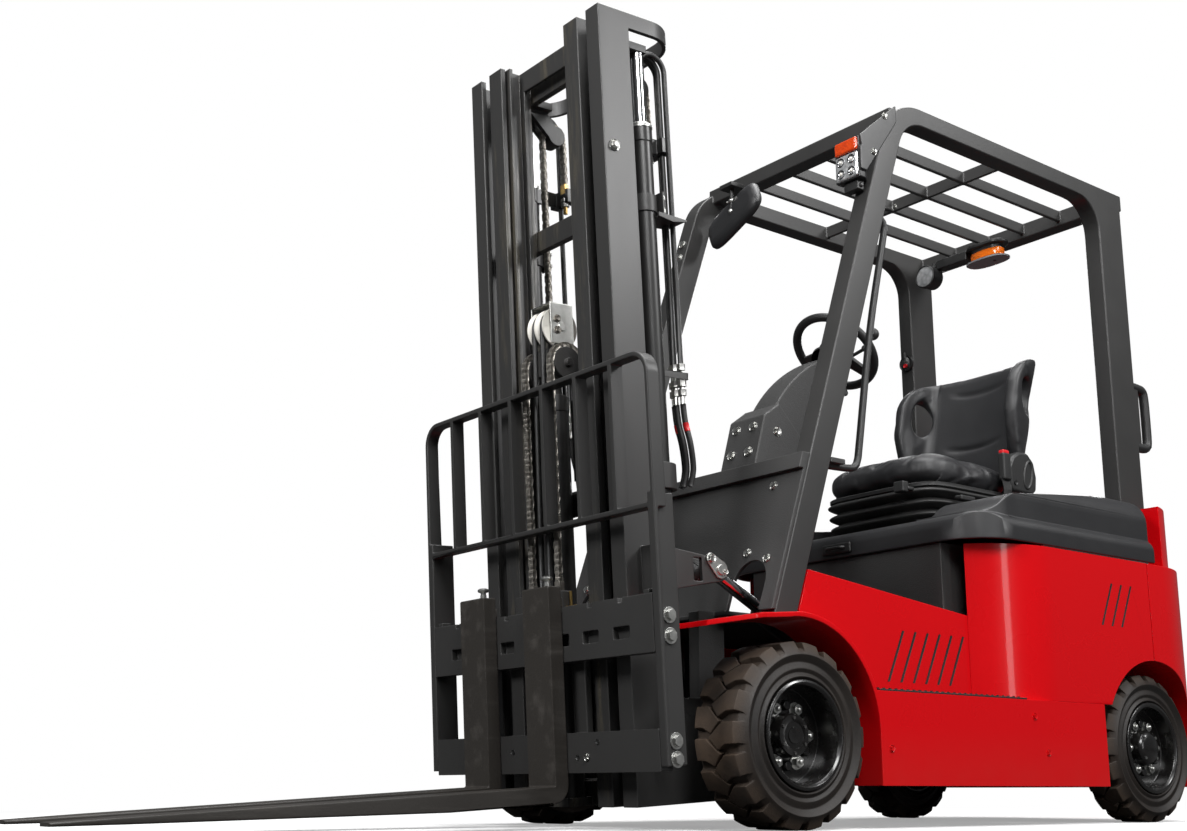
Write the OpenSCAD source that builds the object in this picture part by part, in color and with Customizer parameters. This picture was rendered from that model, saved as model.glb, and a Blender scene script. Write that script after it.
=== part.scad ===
// Four-wheel electric counterbalance truck with a three-stage mast.
// Sizes in millimetres, +X forward, +Y to the truck's left, +Z up, ground at zero.

/* [Wheels] */
// Outer radius of the front tyres, to the tips of the lugs
front_tyre_r = 228; // [200:300]
// Width of a front tyre
front_tyre_w = 178; // [140:230]
// Distance from the middle of the truck to the outer face of a front tyre
front_tyre_out = 565; // [480:640]
// Radius where the front tyre sits on its rim
front_rim_r = 127; // [100:160]
// Radius of the open well of the front rim
front_well_r = 119; // [90:150]
// Outer radius of the rear tyres
rear_tyre_r = 225; // [180:280]
// Width of a rear tyre
rear_tyre_w = 137; // [110:190]
// Distance from the middle of the truck to the outer face of a rear tyre
rear_tyre_out = 537; // [460:620]
// Radius where the rear tyre sits on its rim
rear_rim_r = 132; // [100:160]
// Radius of the open well of the rear rim
rear_well_r = 122; // [90:150]
// Rounding of the tyre shoulders
shoulder_r = 22; // [8:40]
// Depth of the grooves between the lugs
lug_h = 16; // [8:24]
// Lugs along each shoulder of a tyre
lug_count = 18; // [12:24]
// Width of the bead step between tyre and rim
bead_w = 14; // [6:24]
// Height of the rim flange beside the tyre's bead
flange_h = 7; // [3:12]
// Thickness of the wheel discs
disc_t = 14; // [8:24]
// Depth of the front disc behind the outer face
front_dish = 78; // [30:120]
// Depth of the rear disc behind the outer face
rear_dish = 52; // [20:100]
// Radius of the wheel nut circle
nut_pcd_r = 74; // [50:100]
// Radius of a wheel nut
nut_r = 12; // [6:18]
// Height of a wheel nut
nut_h = 14; // [6:24]
// Number of nuts on each wheel
nut_count = 6; // [4:10]
// Radius of the hub in the middle of each wheel
hub_r = 52; // [30:70]
// Height of the hub cap
cap_h = 34; // [10:60]
// Distance between the front and the rear axle
wheelbase = 1567; // [1200:1900]

/* [Axles] */
// Radius of the drive axle tube
axle_tube_r = 72; // [50:100]
// Half length of the drive axle tube
axle_half = 400; // [300:460]
// Radius of the gear case in the middle of the drive axle
gear_r = 118; // [90:150]
// Width of the gear case
gear_w = 170; // [100:260]
// Offset of the gear case to the right
gear_off = 90; // [0:160]
// Radius of the flange that carries a front wheel
drive_flange_r = 96; // [60:110]
// Distance from the middle of the truck to the kingpins
kingpin_y = 395; // [340:430]
// Radius of the kingpins
kingpin_r = 16; // [10:24]
// Outer radius of the steer axle's eyes
eye_r = 34; // [24:46]
// Height of the steer axle's eyes
eye_h = 84; // [50:120]
// Thickness of the yoke plates of a knuckle
yoke_t = 16; // [8:26]
// Side gap beside eyes and wheels
run_gap = 3; // [0.5:0.5:6]
// Gap between a pin or rod and what it runs in
pin_gap = 0.3; // [0.1:0.1:1]
// Gap between pieces that are seated on each other
seat_gap = 0.3; // [0:0.1:0.9]
// Radius of the stub axle
stub_r = 24; // [16:34]
// Width of the steer axle beam
beam_w = 110; // [70:160]
// Height of the steer axle beam
beam_h = 92; // [60:140]
// Height of the steer axle's hanging bracket above the axle
axle_pad_h = 150; // [100:200]

/* [Body] */
// Outer face of the side panels from the middle of the truck
side_y = 560; // [480:620]
// Thickness of the side frames
side_t = 46; // [20:80]
// Height of the lower edge of the side frames
sill_z = 107; // [60:180]
// Height of the step ledge
step_z = 347; // [280:440]
// Thickness of the step
step_t = 12; // [6:25]
// Outer face of the side panels above the step, from the middle of the truck
panel_y = 443; // [420:444]
// Radius of the front wheel arch
arch_r = 276; // [250:330]
// Height of the centre of the front wheel arch
arch_z = 240; // [200:280]
// Thickness of the fender sheet
fender_t = 13; // [5:25]
// Inner edge of the fender from the middle of the truck
fender_in = 396; // [340:450]
// Forward reach of the fender tongue
fender_x = 272; // [200:274]
// Start of the taper of the fenders' outer edge
taper_x = 160; // [100:200]
// Depth of the taper at the tip
taper_w = 50; // [20:70]
// Drop of the fender tongue at its tip
fender_drop = 36; // [0:80]
// Height of the side panel at its front end
panel_z0 = 663; // [600:720]
// Rear end of the side panel's top edge
panel_x1 = -835; // [-900:-815]
// Height of the side panel at its rear end
panel_z1 = 585; // [480:640]
// Gap between neighbouring body panels
panel_gap = 5; // [1:0.5:10]
// Full height of the rear side panel
rear_panel_z1 = 799; // [700:860]
// Thickness of the rear side panels
rear_panel_t = 40; // [15:70]
// Radius of the flare from the side panels out to the rear panels
flare_r = 330; // [250:380]
// Rear end of that flare
flare_x = -1055; // [-1150:-1000]
// Half length of the rear wheel arch
rear_arch_rx = 282; // [250:330]
// Drop of the rear arch's centre below the rear axle
rear_arch_drop = 16; // [0:40]
// Inner side of the rear wheel wells from the middle of the truck
well_in = 165; // [120:240]
// Number of slanted slots in the side panel
side_slots = 6; // [3:9]
// Number of slanted slots in the rear panel
rear_slots = 3; // [2:6]
// Width of a slanted slot
slot_w = 7; // [3:12]
// Depth of a slanted slot
slot_d = 9; // [3:20]
// Distance between slanted slots
slot_step = 52; // [30:80]
// Height of a slanted slot
slot_h = 141; // [60:180]
// Height of the rear panels' slots
rear_slot_h = 131; // [60:160]
// Lean of the slots
slot_rake = 26; // [10:40]
// Rear end of the last front slot
slot_x0 = -454; // [-520:-420]
// Lower end of the slots in the side panel
slot_z0 = 384; // [360:420]
// Front of the rear slots
rear_slot_x = -1304; // [-1400:-1150]
// Lower end of the slots in the rear panel
rear_slot_z = 586; // [520:660]

/* [Counterweight] */
// Rear face of the counterweight behind the front axle
cw_rear = 1985; // [1800:2200]
// Corner radius of the counterweight in plan
cw_corner = 330; // [100:400]
// Height of the counterweight
cw_top = 1008; // [850:1150]
// Front face of the counterweight's upper part
cw_front = -1724; // [-1850:-1600]
// Side face of the counterweight's upper part from the middle
cw_upper_y = 532; // [440:560]
// Radius of the tow pin
tow_pin_r = 14; // [10:20]
// Height of the tow jaw's middle
tow_z = 330; // [250:420]
// Opening of the tow jaw
tow_gap = 46; // [30:80]
// Width of the tow jaw pocket
tow_w = 120; // [80:180]
// Depth of the tow jaw pocket
tow_d = 110; // [60:160]

/* [Cab] */
// Height of the cowl
cowl_top = 980; // [900:1050]
// Thickness of the cowl panels
cowl_t = 14; // [6:24]
// Height of the lip along the cowl's top
lip_h = 46; // [30:110]
// Depth of that lip
lip_d = 30; // [10:60]
// Depth of the dash behind the cowl's front panel
dash_d = 150; // [80:260]
// Height of the floor
floor_z = 548; // [460:600]
// Thickness of the floor plate
floor_t = 12; // [6:25]
// Rear end of the floor
floor_rear = -765; // [-800:-740]
// Distance of the axle hangers from the middle
hanger_y = 190; // [150:200]
// Thickness of the axle hangers
hanger_t = 40; // [20:50]
// Width of the axle hangers
hanger_w = 90; // [60:120]
// Length of the floor openings over the tilt cylinders
tilt_slot = 260; // [230:280]
// Radius of the openings for the tilt cylinders
tilt_hole_r = 62; // [45:90]
// Top of the openings for the tilt cylinders above the floor
tilt_hole_h = 130; // [80:150]
// Front edge of the hood
hood_x0 = -752; // [-790:-700]
// Half width of the hood
hood_y = 552; // [500:556]
// Lower edge of the hood at its front
hood_z0 = 806; // [802:830]
// Height of the seat deck
deck_z = 886; // [850:940]
// Front of the raised part of the hood
hood_rise_x = -785; // [-900:-770]
// Height of the raised part of the hood
hood_top = 1020; // [960:1060]
// Height of the hood's hump where it levels off
hump_z = 955; // [920:990]
// Place where the hump levels off
hump_x = -962; // [-1100:-940]
// Place of the hump's highest point
hump_peak_x = -1520; // [-1600:-1450]
// Inset of the hump from the hood's sides
hump_in = 18; // [5:60]
// Radius of the hood's front corners
hood_corner = 150; // [80:220]
// Rounding along the hood's sides
hood_round = 42; // [20:60]
// Half width of the recess for the seat
seat_well_y = 292; // [260:340]
// Rear end of the recess for the seat
seat_well_x = -1500; // [-1600:-1450]
// Wall thickness of the hood
hood_t = 12; // [6:20]
// Half width of the inner panels below the hood
inner_y = 390; // [360:392]
// Thickness of the inner panels
inner_t = 12; // [6:20]
// Length of the battery block
battery_l = 480; // [400:490]
// Width of the battery block
battery_w = 700; // [500:860]
// Height of the battery block
battery_h = 420; // [300:520]
// Height of the battery's underside
battery_z = 320; // [200:400]
// Front face of the battery
battery_x = -792; // [-800:-785]

/* [Seat] */
// Front of the seat cushion
seat_x0 = -930; // [-1000:-860]
// Length of the seat cushion
cushion_l = 460; // [400:540]
// Half width of the seat cushion
cushion_y = 240; // [200:270]
// Underside of the seat cushion
cushion_z0 = 1036; // [980:1080]
// Thickness of the seat cushion
cushion_h = 100; // [60:140]
// Half width of the seat back at its widest
back_y = 245; // [200:280]
// Half width of the seat back at its top
back_top_y = 175; // [140:220]
// Length of the seat back along its lean
back_h = 470; // [380:560]
// Thickness of the seat back
back_t = 110; // [60:150]
// Lean of the seat back
back_lean = 14; // [0:25]
// Height of the seat back's lower end
back_z0 = 1062; // [1030:1120]
// Half width of the bellows
bellows_y = 215; // [180:260]
// Length of the bellows
bellows_l = 420; // [360:480]
// Number of folds in the bellows
folds = 4; // [2:6]
// Depth of a fold
fold_d = 14; // [4:24]

/* [Steering] */
// Place of the steering wheel's centre behind the front axle
wheel_x = -777; // [-850:-650]
// Height of the steering wheel's centre
wheel_z = 1484; // [1350:1550]
// Radius of the steering wheel
wheel_r = 150; // [130:190]
// Radius of the steering wheel's rim section
wheel_rim = 14; // [10:18]
// Radius of the turning knob
knob_r = 20; // [14:28]
// Lean of the steering wheel from level
wheel_lean = 42; // [20:60]
// Width of the column box
col_w = 150; // [100:220]
// Front foot of the column's box
col_x0 = -312; // [-340:-290]
// Height of the front of that box
col_box_z = 1195; // [1120:1240]
// Lean of the box
col_lean = 16; // [8:22]
// Depth of the box
col_box_d = 165; // [120:190]
// Width of the slope at the box's top edge
col_slope = 62; // [30:80]
// Centre of the neck's bend, along the truck
neck_x = -902; // [-960:-860]
// Centre of the neck's bend, above the ground
neck_z = 932; // [900:980]
// Outer radius of the neck's bend
neck_r = 551; // [500:600]
// Depth of the neck
neck_t = 136; // [90:160]
// Width of the neck
neck_w = 104; // [70:140]
// Angle where the neck ends below the wheel
neck_end = 72; // [60:80]

/* [Guard] */
// Outer face of the guard from the middle of the truck
guard_y = 445; // [400:520]
// Width of the guard tubes
tube_y = 60; // [40:90]
// Depth of the pillar tubes
tube_x = 82; // [50:110]
// Height of the roof frame
roof_top = 2138; // [2000:2250]
// Height of the roof tubes
roof_h = 56; // [35:80]
// Rear end of the roof frame
roof_rear = -1788; // [-1880:-1700]
// Foot of the front pillars behind the front axle
pillar_x0 = -18; // [-60:20]
// Height of the foot of the front pillars
pillar_z0 = 529.3; // [480:0.1:600]
// Rake of the front pillars
pillar_rake = 19; // [10:0.5:28]
// Radius of the bend at the top of the front pillars
bend_r = 190; // [100:260]
// Inner radius of that bend
bend_in_r = 120; // [60:180]
// Reach of the roof's front bar ahead of the bends' centres
roof_nose = 97; // [80:110]
// Step of the roof's front bar below the rails
roof_step = 4; // [1:12]
// Front face of the rear pillars at their foot
rear_pillar_x = -1640; // [-1720:-1560]
// Depth of the rear pillars
rear_pillar_d = 135; // [80:170]
// Height of the rear pillars' feet
rear_pillar_z = 1008; // [950:1080]
// Number of roof slats
slats = 4; // [3:7]
// Width of a roof slat
slat_w = 14; // [8:30]
// Height of a roof slat
slat_h = 42; // [20:56]
// Place of the roof's cross bar
cross_x = -1180; // [-1300:-1000]
// Size of the gussets at the rear pillars
gusset = 110; // [60:160]

/* [Fittings] */
// Drop of the head lamp's middle below the roof
lamp_drop = 233; // [120:300]
// Width of the head lamp
lamp_w = 92; // [60:140]
// Height of the head lamp
lamp_h = 128; // [80:170]
// Depth of the head lamp
lamp_d = 52; // [30:90]
// Radius of the beacon
beacon_r = 42; // [30:70]
// Height of the beacon
beacon_h = 66; // [40:120]
// Distance of beacon and work lamp from the roof's rear end
beacon_in = 112; // [90:160]
// Distance of the work lamp to the right of the middle
work_lamp_y = 290; // [200:330]
// Width of the mirror
mirror_w = 250; // [140:300]
// Height of the mirror
mirror_h = 120; // [80:180]
// Thickness of the mirror
mirror_t = 26; // [12:40]
// Place of the mirror, to the left of the middle
mirror_y = -232; // [-330:-200]
// Drop of the mirror's middle below the roof
mirror_drop = 96; // [70:140]
// Radius of the grab tubes
grab_r = 9; // [8:18]
// Distance of the grab tubes from the pillars
grab_out = 42; // [40:90]
// Height of the rear grips above the ground
grip_z = 1232; // [1150:1300]
// Length of the rear grips
grip_h = 224; // [160:280]
// Height of the front grab tube's lower end
grab_z = 1560; // [1450:1650]
// Length of the front grab tube
grab_h = 330; // [200:380]

/* [Mast] */
// Forward lean of the parked mast
mast_lean = 3.3; // [0:0.1:6]
// Front face of the mast rails ahead of the tilt axis
rail_front = 330; // [280:400]
// Depth of the outer and middle rails
rail_d = 105; // [80:140]
// Top of the rails above the tilt axis
rail_top = 1945; // [1700:2100]
// Foot of the rails below the tilt axis
rail_foot = -155; // [-190:-100]
// Outer face of the outer rails from the middle
outer_y = 305; // [270:360]
// Width of the outer rails
outer_w = 55; // [40:80]
// Outer face of the middle rails from the middle
middle_y = 212; // [180:240]
// Width of the middle rails
middle_w = 62; // [45:80]
// Wall thickness of the outer and middle rails
rail_t = 16; // [10:22]
// Outer face of the inner rails from the middle
inner_rail_y = 190; // [160:195]
// Width of the inner rails
inner_rail_w = 52; // [35:60]
// Depth of the inner rails
inner_rail_d = 60; // [45:64]
// Wall thickness of the inner rails
inner_rail_t = 11; // [7:15]
// Radius of the mast rollers
roller_r = 31; // [20:34]
// Height of the band that ties the outer rails at their top
hoop_h = 46; // [30:80]
// Thickness of the tie bands
hoop_t = 12; // [8:20]
// Rear face of the tie bands behind the rails' front
hoop_u = 34; // [10:80]
// Corner radius of the tie bands
hoop_r = 105; // [40:130]
// Place of the middle tie band
tie_w = 640; // [400:900]
// Rear face of the middle tie band
tie_u = 110; // [100:120]
// Corner radius of the middle tie band
tie_r = 60; // [30:80]
// Thickness of the cross members
cross_t = 22; // [12:30]
// Height of the cross members
cross_h = 62; // [40:120]
// Height of the top cross member of the middle mast
top_cross_h = 88; // [60:140]
// Place of the second cross member of the middle mast
cross_w2 = 1400; // [1350:1500]
// Thickness of the mast feet that ride on the axle
saddle_t = 40; // [25:60]
// Radius of the mast feet around the axle
saddle_r = 104; // [90:130]
// Rear reach of the tilt lugs: pin ahead of the tilt axis
pin_u = 66; // [30:120]
// Height of the tilt pin above the tilt axis
pin_w = 424; // [350:500]
// Distance of the tilt cylinders from the middle
tilt_y = 333; // [310:360]
// Radius of the tilt pin
tilt_pin_r = 14; // [10:20]
// Thickness of a tilt lug
lug_t = 12; // [8:20]
// Radius of the round end of a tilt lug
lug_r = 30; // [22:40]

/* [Cylinders] */
// Distance of the side lift cylinders from the middle
lift_y = 260; // [230:280]
// Place of the side lift cylinders ahead of the tilt axis
lift_u = 166; // [140:180]
// Outer radius of the side lift barrels
lift_r = 31; // [24:36]
// Top of the side lift barrels
lift_top = 1640; // [1500:1750]
// Radius of the side lift rods
lift_rod_r = 20; // [14:24]
// Height of the gland on a barrel
gland_h = 44; // [20:70]
// Added radius of the gland
gland_r = 2; // [1:0.5:8]
// Radius of the free lift barrel
free_r = 38; // [30:42]
// Place of the free lift cylinder ahead of the tilt axis
free_u = 300; // [290:310]
// Top of the free lift barrel
free_top = 930; // [800:1050]
// Radius of the free lift rod
free_rod_r = 24; // [16:30]
// Radius of the tilt barrels
tilt_r = 34; // [26:42]
// Radius of the tilt rods
tilt_rod_r = 17; // [12:22]
// Place of the tilt barrels' rear pins behind the front axle
tilt_x = -400; // [-450:-350]
// Height of the tilt barrels' rear pins
tilt_z = 401; // [380:460]
// Length of a tilt barrel
tilt_barrel_l = 330; // [280:380]
// Radius of the eyes of the tilt cylinders
tilt_eye_r = 30; // [22:36]
// Width of the eyes of the tilt cylinders
tilt_eye_w = 30; // [20:50]
// Play of the rod eye around its pin
eye_play = 4; // [2:0.5:6]

/* [Chains] */
// Distance of the rear chains from the middle
chain_y = 195; // [180:205]
// Outer side of the arms that carry the rear chains' moving ends
arm_y = 144; // [120:145]
// Thickness of those arms
arm_t = 14; // [8:20]
// Width of a chain
chain_w = 22; // [14:30]
// Thickness of a chain
chain_t = 14; // [8:20]
// Radius of the rear chain wheels
chain_wheel_r = 38; // [30:46]
// Place of the rear chain wheels ahead of the tilt axis
chain_u = 118; // [105:130]
// Drop of the rear chain wheels below the top of the mast
chain_drop = 153; // [125:205]
// Drop of the fixed chain anchors below the wheels
anchor_drop = 140; // [92:147]
// Rise of the crosshead's chain wheels above the free lift barrel
head_rise = 82; // [50:130]
// Rise of the hose wheel above the chain wheels
hose_rise = 100; // [98:148]
// Distance of the front chains from the middle
front_chain_y = 58; // [54:70]
// Radius of the crosshead's chain wheels
head_wheel_r = 52; // [34:56]
// Radius of the hose wheel on the crosshead
hose_wheel_r = 40; // [30:60]
// Width of the hose wheel
hose_wheel_t = 56; // [30:70]
// Height where the front chains meet the carriage
carriage_anchor_w = 392; // [360:420]
// Height of the fixed anchors of the front chains
free_anchor_w = 664; // [600:760]
// Radius of a hose
hose_r = 9; // [6:14]

/* [Carriage] */
// Rear face of the forks ahead of the tilt axis
fork_u = 400; // [370:440]
// Half width of the carriage
carriage_y = 480; // [400:540]
// Thickness of the carriage bars
bar_t = 38; // [24:50]
// Top of the upper carriage bar
upper_top = 346; // [320:380]
// Height of the upper carriage bar
upper_h = 140; // [80:160]
// Underside of the lower carriage bar
lower_foot = -68; // [-100:-40]
// Height of the lower carriage bar
lower_h = 98; // [70:130]
// Half distance of the carriage's roller plates
plate_y = 126; // [110:130]
// Thickness of the roller plates
plate_t = 18; // [10:24]
// Half width of the bridge that takes the front chains
bridge_y = 102; // [80:108]
// Number of latch notches in each half of the upper bar
notches = 3; // [2:5]
// Width of a latch notch
notch_w = 16; // [8:24]
// Depth of a latch notch
notch_d = 12; // [6:18]
// Width of the slots below the upper bar's front step
window_w = 62; // [30:90]
// Height of the slots below the upper bar's front step
window_h = 30; // [16:44]
// Radius of the carriage rollers
carriage_roller_r = 14; // [9:17]

/* [Backrest] */
// Half width of the backrest
backrest_y = 506; // [460:560]
// Top of the backrest
backrest_top = 938; // [800:1250]
// Height of the backrest's lower bar
backrest_low = 548; // [450:650]
// Thickness of the backrest's bars
rest_t = 13; // [8:20]
// Depth of the backrest's bars
rest_d = 38; // [25:40]
// Corner radius of the backrest
rest_r = 62; // [20:100]
// Number of upright bars in the backrest
rest_bars = 6; // [4:9]
// Depth of the side plates that hold the backrest
rest_plate_d = 72; // [50:100]
// Foot of the side plates
rest_plate_foot = -57; // [-90:-20]

/* [Forks] */
// Length of a fork blade
fork_l = 1220; // [900:1400]
// Width of a fork
fork_w = 114; // [80:140]
// Thickness of a fork at its heel
fork_t = 42; // [30:55]
// Thickness of a fork at its tip
fork_tip_t = 9; // [6:14]
// Top of the fork blades
fork_top = -99; // [-120:-70]
// Height of a fork's shank above its blade
shank_h = 498; // [450:540]
// Middle of the left fork
fork_left_y = 71; // [60:380]
// Middle of the right fork
fork_right_y = -222; // [-380:-80]
// Radius of the rounded heel
heel_r = 46; // [20:80]
// Thickness of the fork hooks
hook_t = 26; // [14:36]
// Reach of the fork hooks over the carriage bar
hook_d = 16; // [8:18]
// Width of the fork hooks
hook_w = 80; // [50:110]

/* [Hidden] */
// Overrun of cuts
over = 20;
// Facets of round pieces
$fn = 48;
// Shares of the sidewall's height where its rings and dips lie
ring_shares = [0.14, 0.24, 0.33, 0.5, 0.68, 0.74];
// Shares of the bead's width by which the sidewall lies in there
dip_shares = [0.3, 0.9, 0.4, 0.9, 0, 0.5];
// Shares of the pitch and of the half width that outline a lug
lug_shares = [[-0.34, 1.1], [0.3, 1.1], [0.33, 0.42], [0.5, 0.12], [0.12, -0.2], [-0.34, 0.3]];
// Share of the nut circle that is turned by half a step
half_step_share = 0.5;
// Shares of a blade's length where it starts to narrow
blade_taper_share = 0.86;
// Share of the fork's width left at its tip
tip_width_share = 0.5;
// Angles used for quarter and half turns
quarter = 90;
half_turn = 180;
full_turn = 360;

mast_tip_x = (fork_u + fork_t + fork_l) * cos(mast_lean) + fork_top * sin(mast_lean);
origin_shift = (cw_rear - mast_tip_x) / 2;
rail_back = rail_front - rail_d;
inner_rail_u = rail_back + rail_t + (rail_d - 2 * rail_t - inner_rail_d) / 2;
pin_x = pin_u * cos(mast_lean) + pin_w * sin(mast_lean);
pin_z = front_tyre_r - pin_u * sin(mast_lean) + pin_w * cos(mast_lean);
tilt_len = sqrt(pow(pin_x - tilt_x, 2) + pow(pin_z - tilt_z, 2));
tilt_angle = atan2(pin_z - tilt_z, pin_x - tilt_x);
roller_u = rail_back + rail_d / 2;
roof_z0 = roof_top - roof_h;
chain_wheel_w = rail_top - chain_drop;
anchor_w = chain_wheel_w - anchor_drop;
head_w = free_top + head_rise;
hose_w = head_w + hose_rise;
lamp_z = roof_top - lamp_drop;
front_disc_y = front_tyre_out - front_dish - disc_t;
stub_end = rear_tyre_out - rear_dish - disc_t - kingpin_y + cap_h / 3;
fender_top = arch_z + arch_r + fender_t;
floor_y = fender_in - seat_gap;
floor_front = pillar_x0 - tan(pillar_rake) * (floor_z - pillar_z0) + cowl_t;
dash_x = pillar_x0 - tan(pillar_rake) * (cowl_top - pillar_z0) + cowl_t;
bend_cx = pillar_x0 - (bend_r + (roof_top - bend_r - pillar_z0) * sin(pillar_rake)) / cos(pillar_rake);
roof_front = bend_cx + roof_nose;
bend_in_cx = pillar_x0 - tube_x
  - (bend_in_r + (roof_top - roof_h - bend_in_r - pillar_z0) * sin(pillar_rake)) / cos(pillar_rake);
lamp_x = pillar_x0 - tan(pillar_rake) * (lamp_z - pillar_z0);
bar_u = fork_u - bar_t;

// Front edge of the side panels, along the rear face of the pillar
function panel_front(z) = pillar_x0 - tube_x - panel_gap - tan(pillar_rake) * (z - pillar_z0);

module shifted() {
  translate([origin_shift, 0, 0]) children();
}

module in_mast() {
  translate([origin_shift, 0, front_tyre_r]) rotate([0, mast_lean, 0]) children();
}

module both() {
  children();
  mirror([0, 1, 0]) children();
}

module block(x0, x1, y0, y1, z0, z1) {
  translate([x0, y0, z0]) cube([x1 - x0, y1 - y0, z1 - z0]);
}

// Extrudes a side view, drawn in X and Z, from y0 to y1
module side(y0, y1) {
  translate([0, y1, 0]) rotate([quarter, 0, 0]) linear_extrude(height = y1 - y0) children();
}

// A cylinder along Y from y0 to y1
module rod_y(x, z, r, y0, y1) {
  translate([x, y1, z]) rotate([quarter, 0, 0]) cylinder(r = r, h = y1 - y0);
}

// A cylinder along Z
module rod_z(x, y, r, z0, z1) {
  translate([x, y, z0]) cylinder(r = r, h = z1 - z0);
}

// Solid tyre with a ringed sidewall and two rows of lugs that reach past each other in the middle
module tyre(r, w, rim_r) {
  wall = r - rim_r;
  floor_r = r - lug_h;
  lip_r = rim_r + wall * ring_shares[len(ring_shares) - 1];
  rotate_extrude() for (m = [0, 1]) mirror([0, m]) polygon([
    [rim_r, 0],
    [rim_r, w / 2 - bead_w],
    [rim_r + flange_h, w / 2 - bead_w],
    for (i = [0 : len(ring_shares) - 1]) [rim_r + wall * ring_shares[i], w / 2 - bead_w * dip_shares[i]],
    [floor_r, w / 2 - shoulder_r],
    [floor_r, 0]]);
  intersection() {
    rotate_extrude() for (m = [0, 1]) mirror([0, m]) polygon([
      [floor_r - lug_h, 0],
      [lip_r - lug_h, w / 2 - shoulder_r],
      [lip_r, w / 2 - bead_w / 2],
      [r, w / 2 - shoulder_r],
      [r, 0]]);
    for (i = [0 : lug_count - 1], m = [0, 1]) rotate((i + m / 2) * full_turn / lug_count)
      translate([floor_r - lug_h, 0, 0]) mirror([0, 0, m]) rotate([quarter, 0, quarter])
      linear_extrude(height = 3 * lug_h) lug(2 * PI * r / lug_count, w / 2);
  }
}

// Outline of one lug, along the rim by across it
module lug(pitch, half) {
  polygon([for (p = lug_shares) [p[0] * pitch, p[1] * half]]);
}

// Open rim with a flange and a dished disc, its outer face at zero and the wheel reaching to -w
module rim(w, rim_r, well_r, dish) {
  rotate_extrude() polygon([
    [well_r, -dish],
    [well_r, -flange_h],
    [well_r + flange_h, 0],
    [rim_r + flange_h, -flange_h / 2],
    [rim_r + flange_h, -bead_w],
    [rim_r, -bead_w],
    [rim_r, -w],
    [well_r, -w],
    [well_r, -dish - disc_t],
    [0, -dish - disc_t],
    [0, -dish],
    [hub_r, -dish],
    [nut_pcd_r - 2 * nut_r, -dish],
    [nut_pcd_r + 2 * nut_r, -dish]]);
}

module nuts(dish) {
  for (i = [0 : nut_count - 1]) rotate((i + half_step_share) * full_turn / nut_count)
    translate([nut_pcd_r, 0, -dish - disc_t / 2]) cylinder(r = nut_r, h = nut_h + disc_t / 2);
}

// Hub cap with a rounded edge
module hub(dish) {
  translate([0, 0, -dish - disc_t / 2]) rotate_extrude() {
    square([hub_r, disc_t / 2 + cap_h / 2]);
    square([hub_r - cap_h / 2, disc_t / 2 + cap_h]);
    intersection() {
      translate([hub_r - cap_h / 2, disc_t / 2 + cap_h / 2]) circle(r = cap_h / 2);
      square([hub_r, disc_t + cap_h]);
    }
  }
}

module front_rim() {
  rim(front_tyre_w, front_rim_r, front_well_r, front_dish);
  nuts(front_dish);
  hub(front_dish);
}

module rear_rim() {
  difference() {
    union() {
      rim(rear_tyre_w, rear_rim_r, rear_well_r, rear_dish);
      nuts(rear_dish);
      hub(rear_dish);
    }
    translate([0, 0, -rear_dish - disc_t - over]) cylinder(r = stub_r + pin_gap,
        h = disc_t + over + cap_h / 2);
  }
}

module at_wheel(x, y, z, s) {
  shifted() translate([x, s * y, z]) rotate([-s * quarter, 0, 0]) children();
}

module front_tyre_left() {
  color("DimGray") at_wheel(0, front_tyre_out - front_tyre_w / 2, front_tyre_r, 1)
    tyre(front_tyre_r, front_tyre_w, front_rim_r);
}

module front_tyre_right() {
  color("DimGray") at_wheel(0, front_tyre_out - front_tyre_w / 2, front_tyre_r, -1)
    tyre(front_tyre_r, front_tyre_w, front_rim_r);
}

module front_rim_left() {
  color("Black") at_wheel(0, front_tyre_out, front_tyre_r, 1) front_rim();
}

module front_rim_right() {
  color("Black") at_wheel(0, front_tyre_out, front_tyre_r, -1) front_rim();
}

module rear_tyre_left() {
  color("DimGray") at_wheel(-wheelbase, rear_tyre_out - rear_tyre_w / 2, rear_tyre_r, 1)
    tyre(rear_tyre_r, rear_tyre_w, rear_rim_r);
}

module rear_tyre_right() {
  color("DimGray") at_wheel(-wheelbase, rear_tyre_out - rear_tyre_w / 2, rear_tyre_r, -1)
    tyre(rear_tyre_r, rear_tyre_w, rear_rim_r);
}

module rear_rim_left() {
  color("Black") at_wheel(-wheelbase, rear_tyre_out, rear_tyre_r, 1) rear_rim();
}

module rear_rim_right() {
  color("Black") at_wheel(-wheelbase, rear_tyre_out, rear_tyre_r, -1) rear_rim();
}

// Axles and knuckles

module drive_axle() {
  color("DarkSlateGray") shifted() {
    rod_y(0, front_tyre_r, axle_tube_r, -axle_half, axle_half);
    rod_y(0, front_tyre_r, gear_r, -gear_off - gear_w / 2, -gear_off + gear_w / 2);
    both() rod_y(0, front_tyre_r, drive_flange_r, axle_half, front_disc_y - seat_gap);
  }
}

module steer_axle() {
  color("DarkSlateGray") shifted() translate([-wheelbase, 0, rear_tyre_r]) {
    block(-beam_w / 2, beam_w / 2, -kingpin_y + beam_w, kingpin_y - beam_w, -beam_h / 2, beam_h / 2);
    both() difference() {
      union() {
        block(-eye_r, eye_r, kingpin_y - beam_w - over, kingpin_y, -eye_h / 2, eye_h / 2);
        rod_z(0, kingpin_y, eye_r, -eye_h / 2, eye_h / 2);
      }
      rod_z(0, kingpin_y, kingpin_r + pin_gap, -eye_h, eye_h);
    }
    // Bracket that hangs the axle from the counterweight
    block(-beam_w / 2, beam_w / 2, -beam_w, beam_w, beam_h / 2, axle_pad_h - seat_gap);
  }
}

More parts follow.
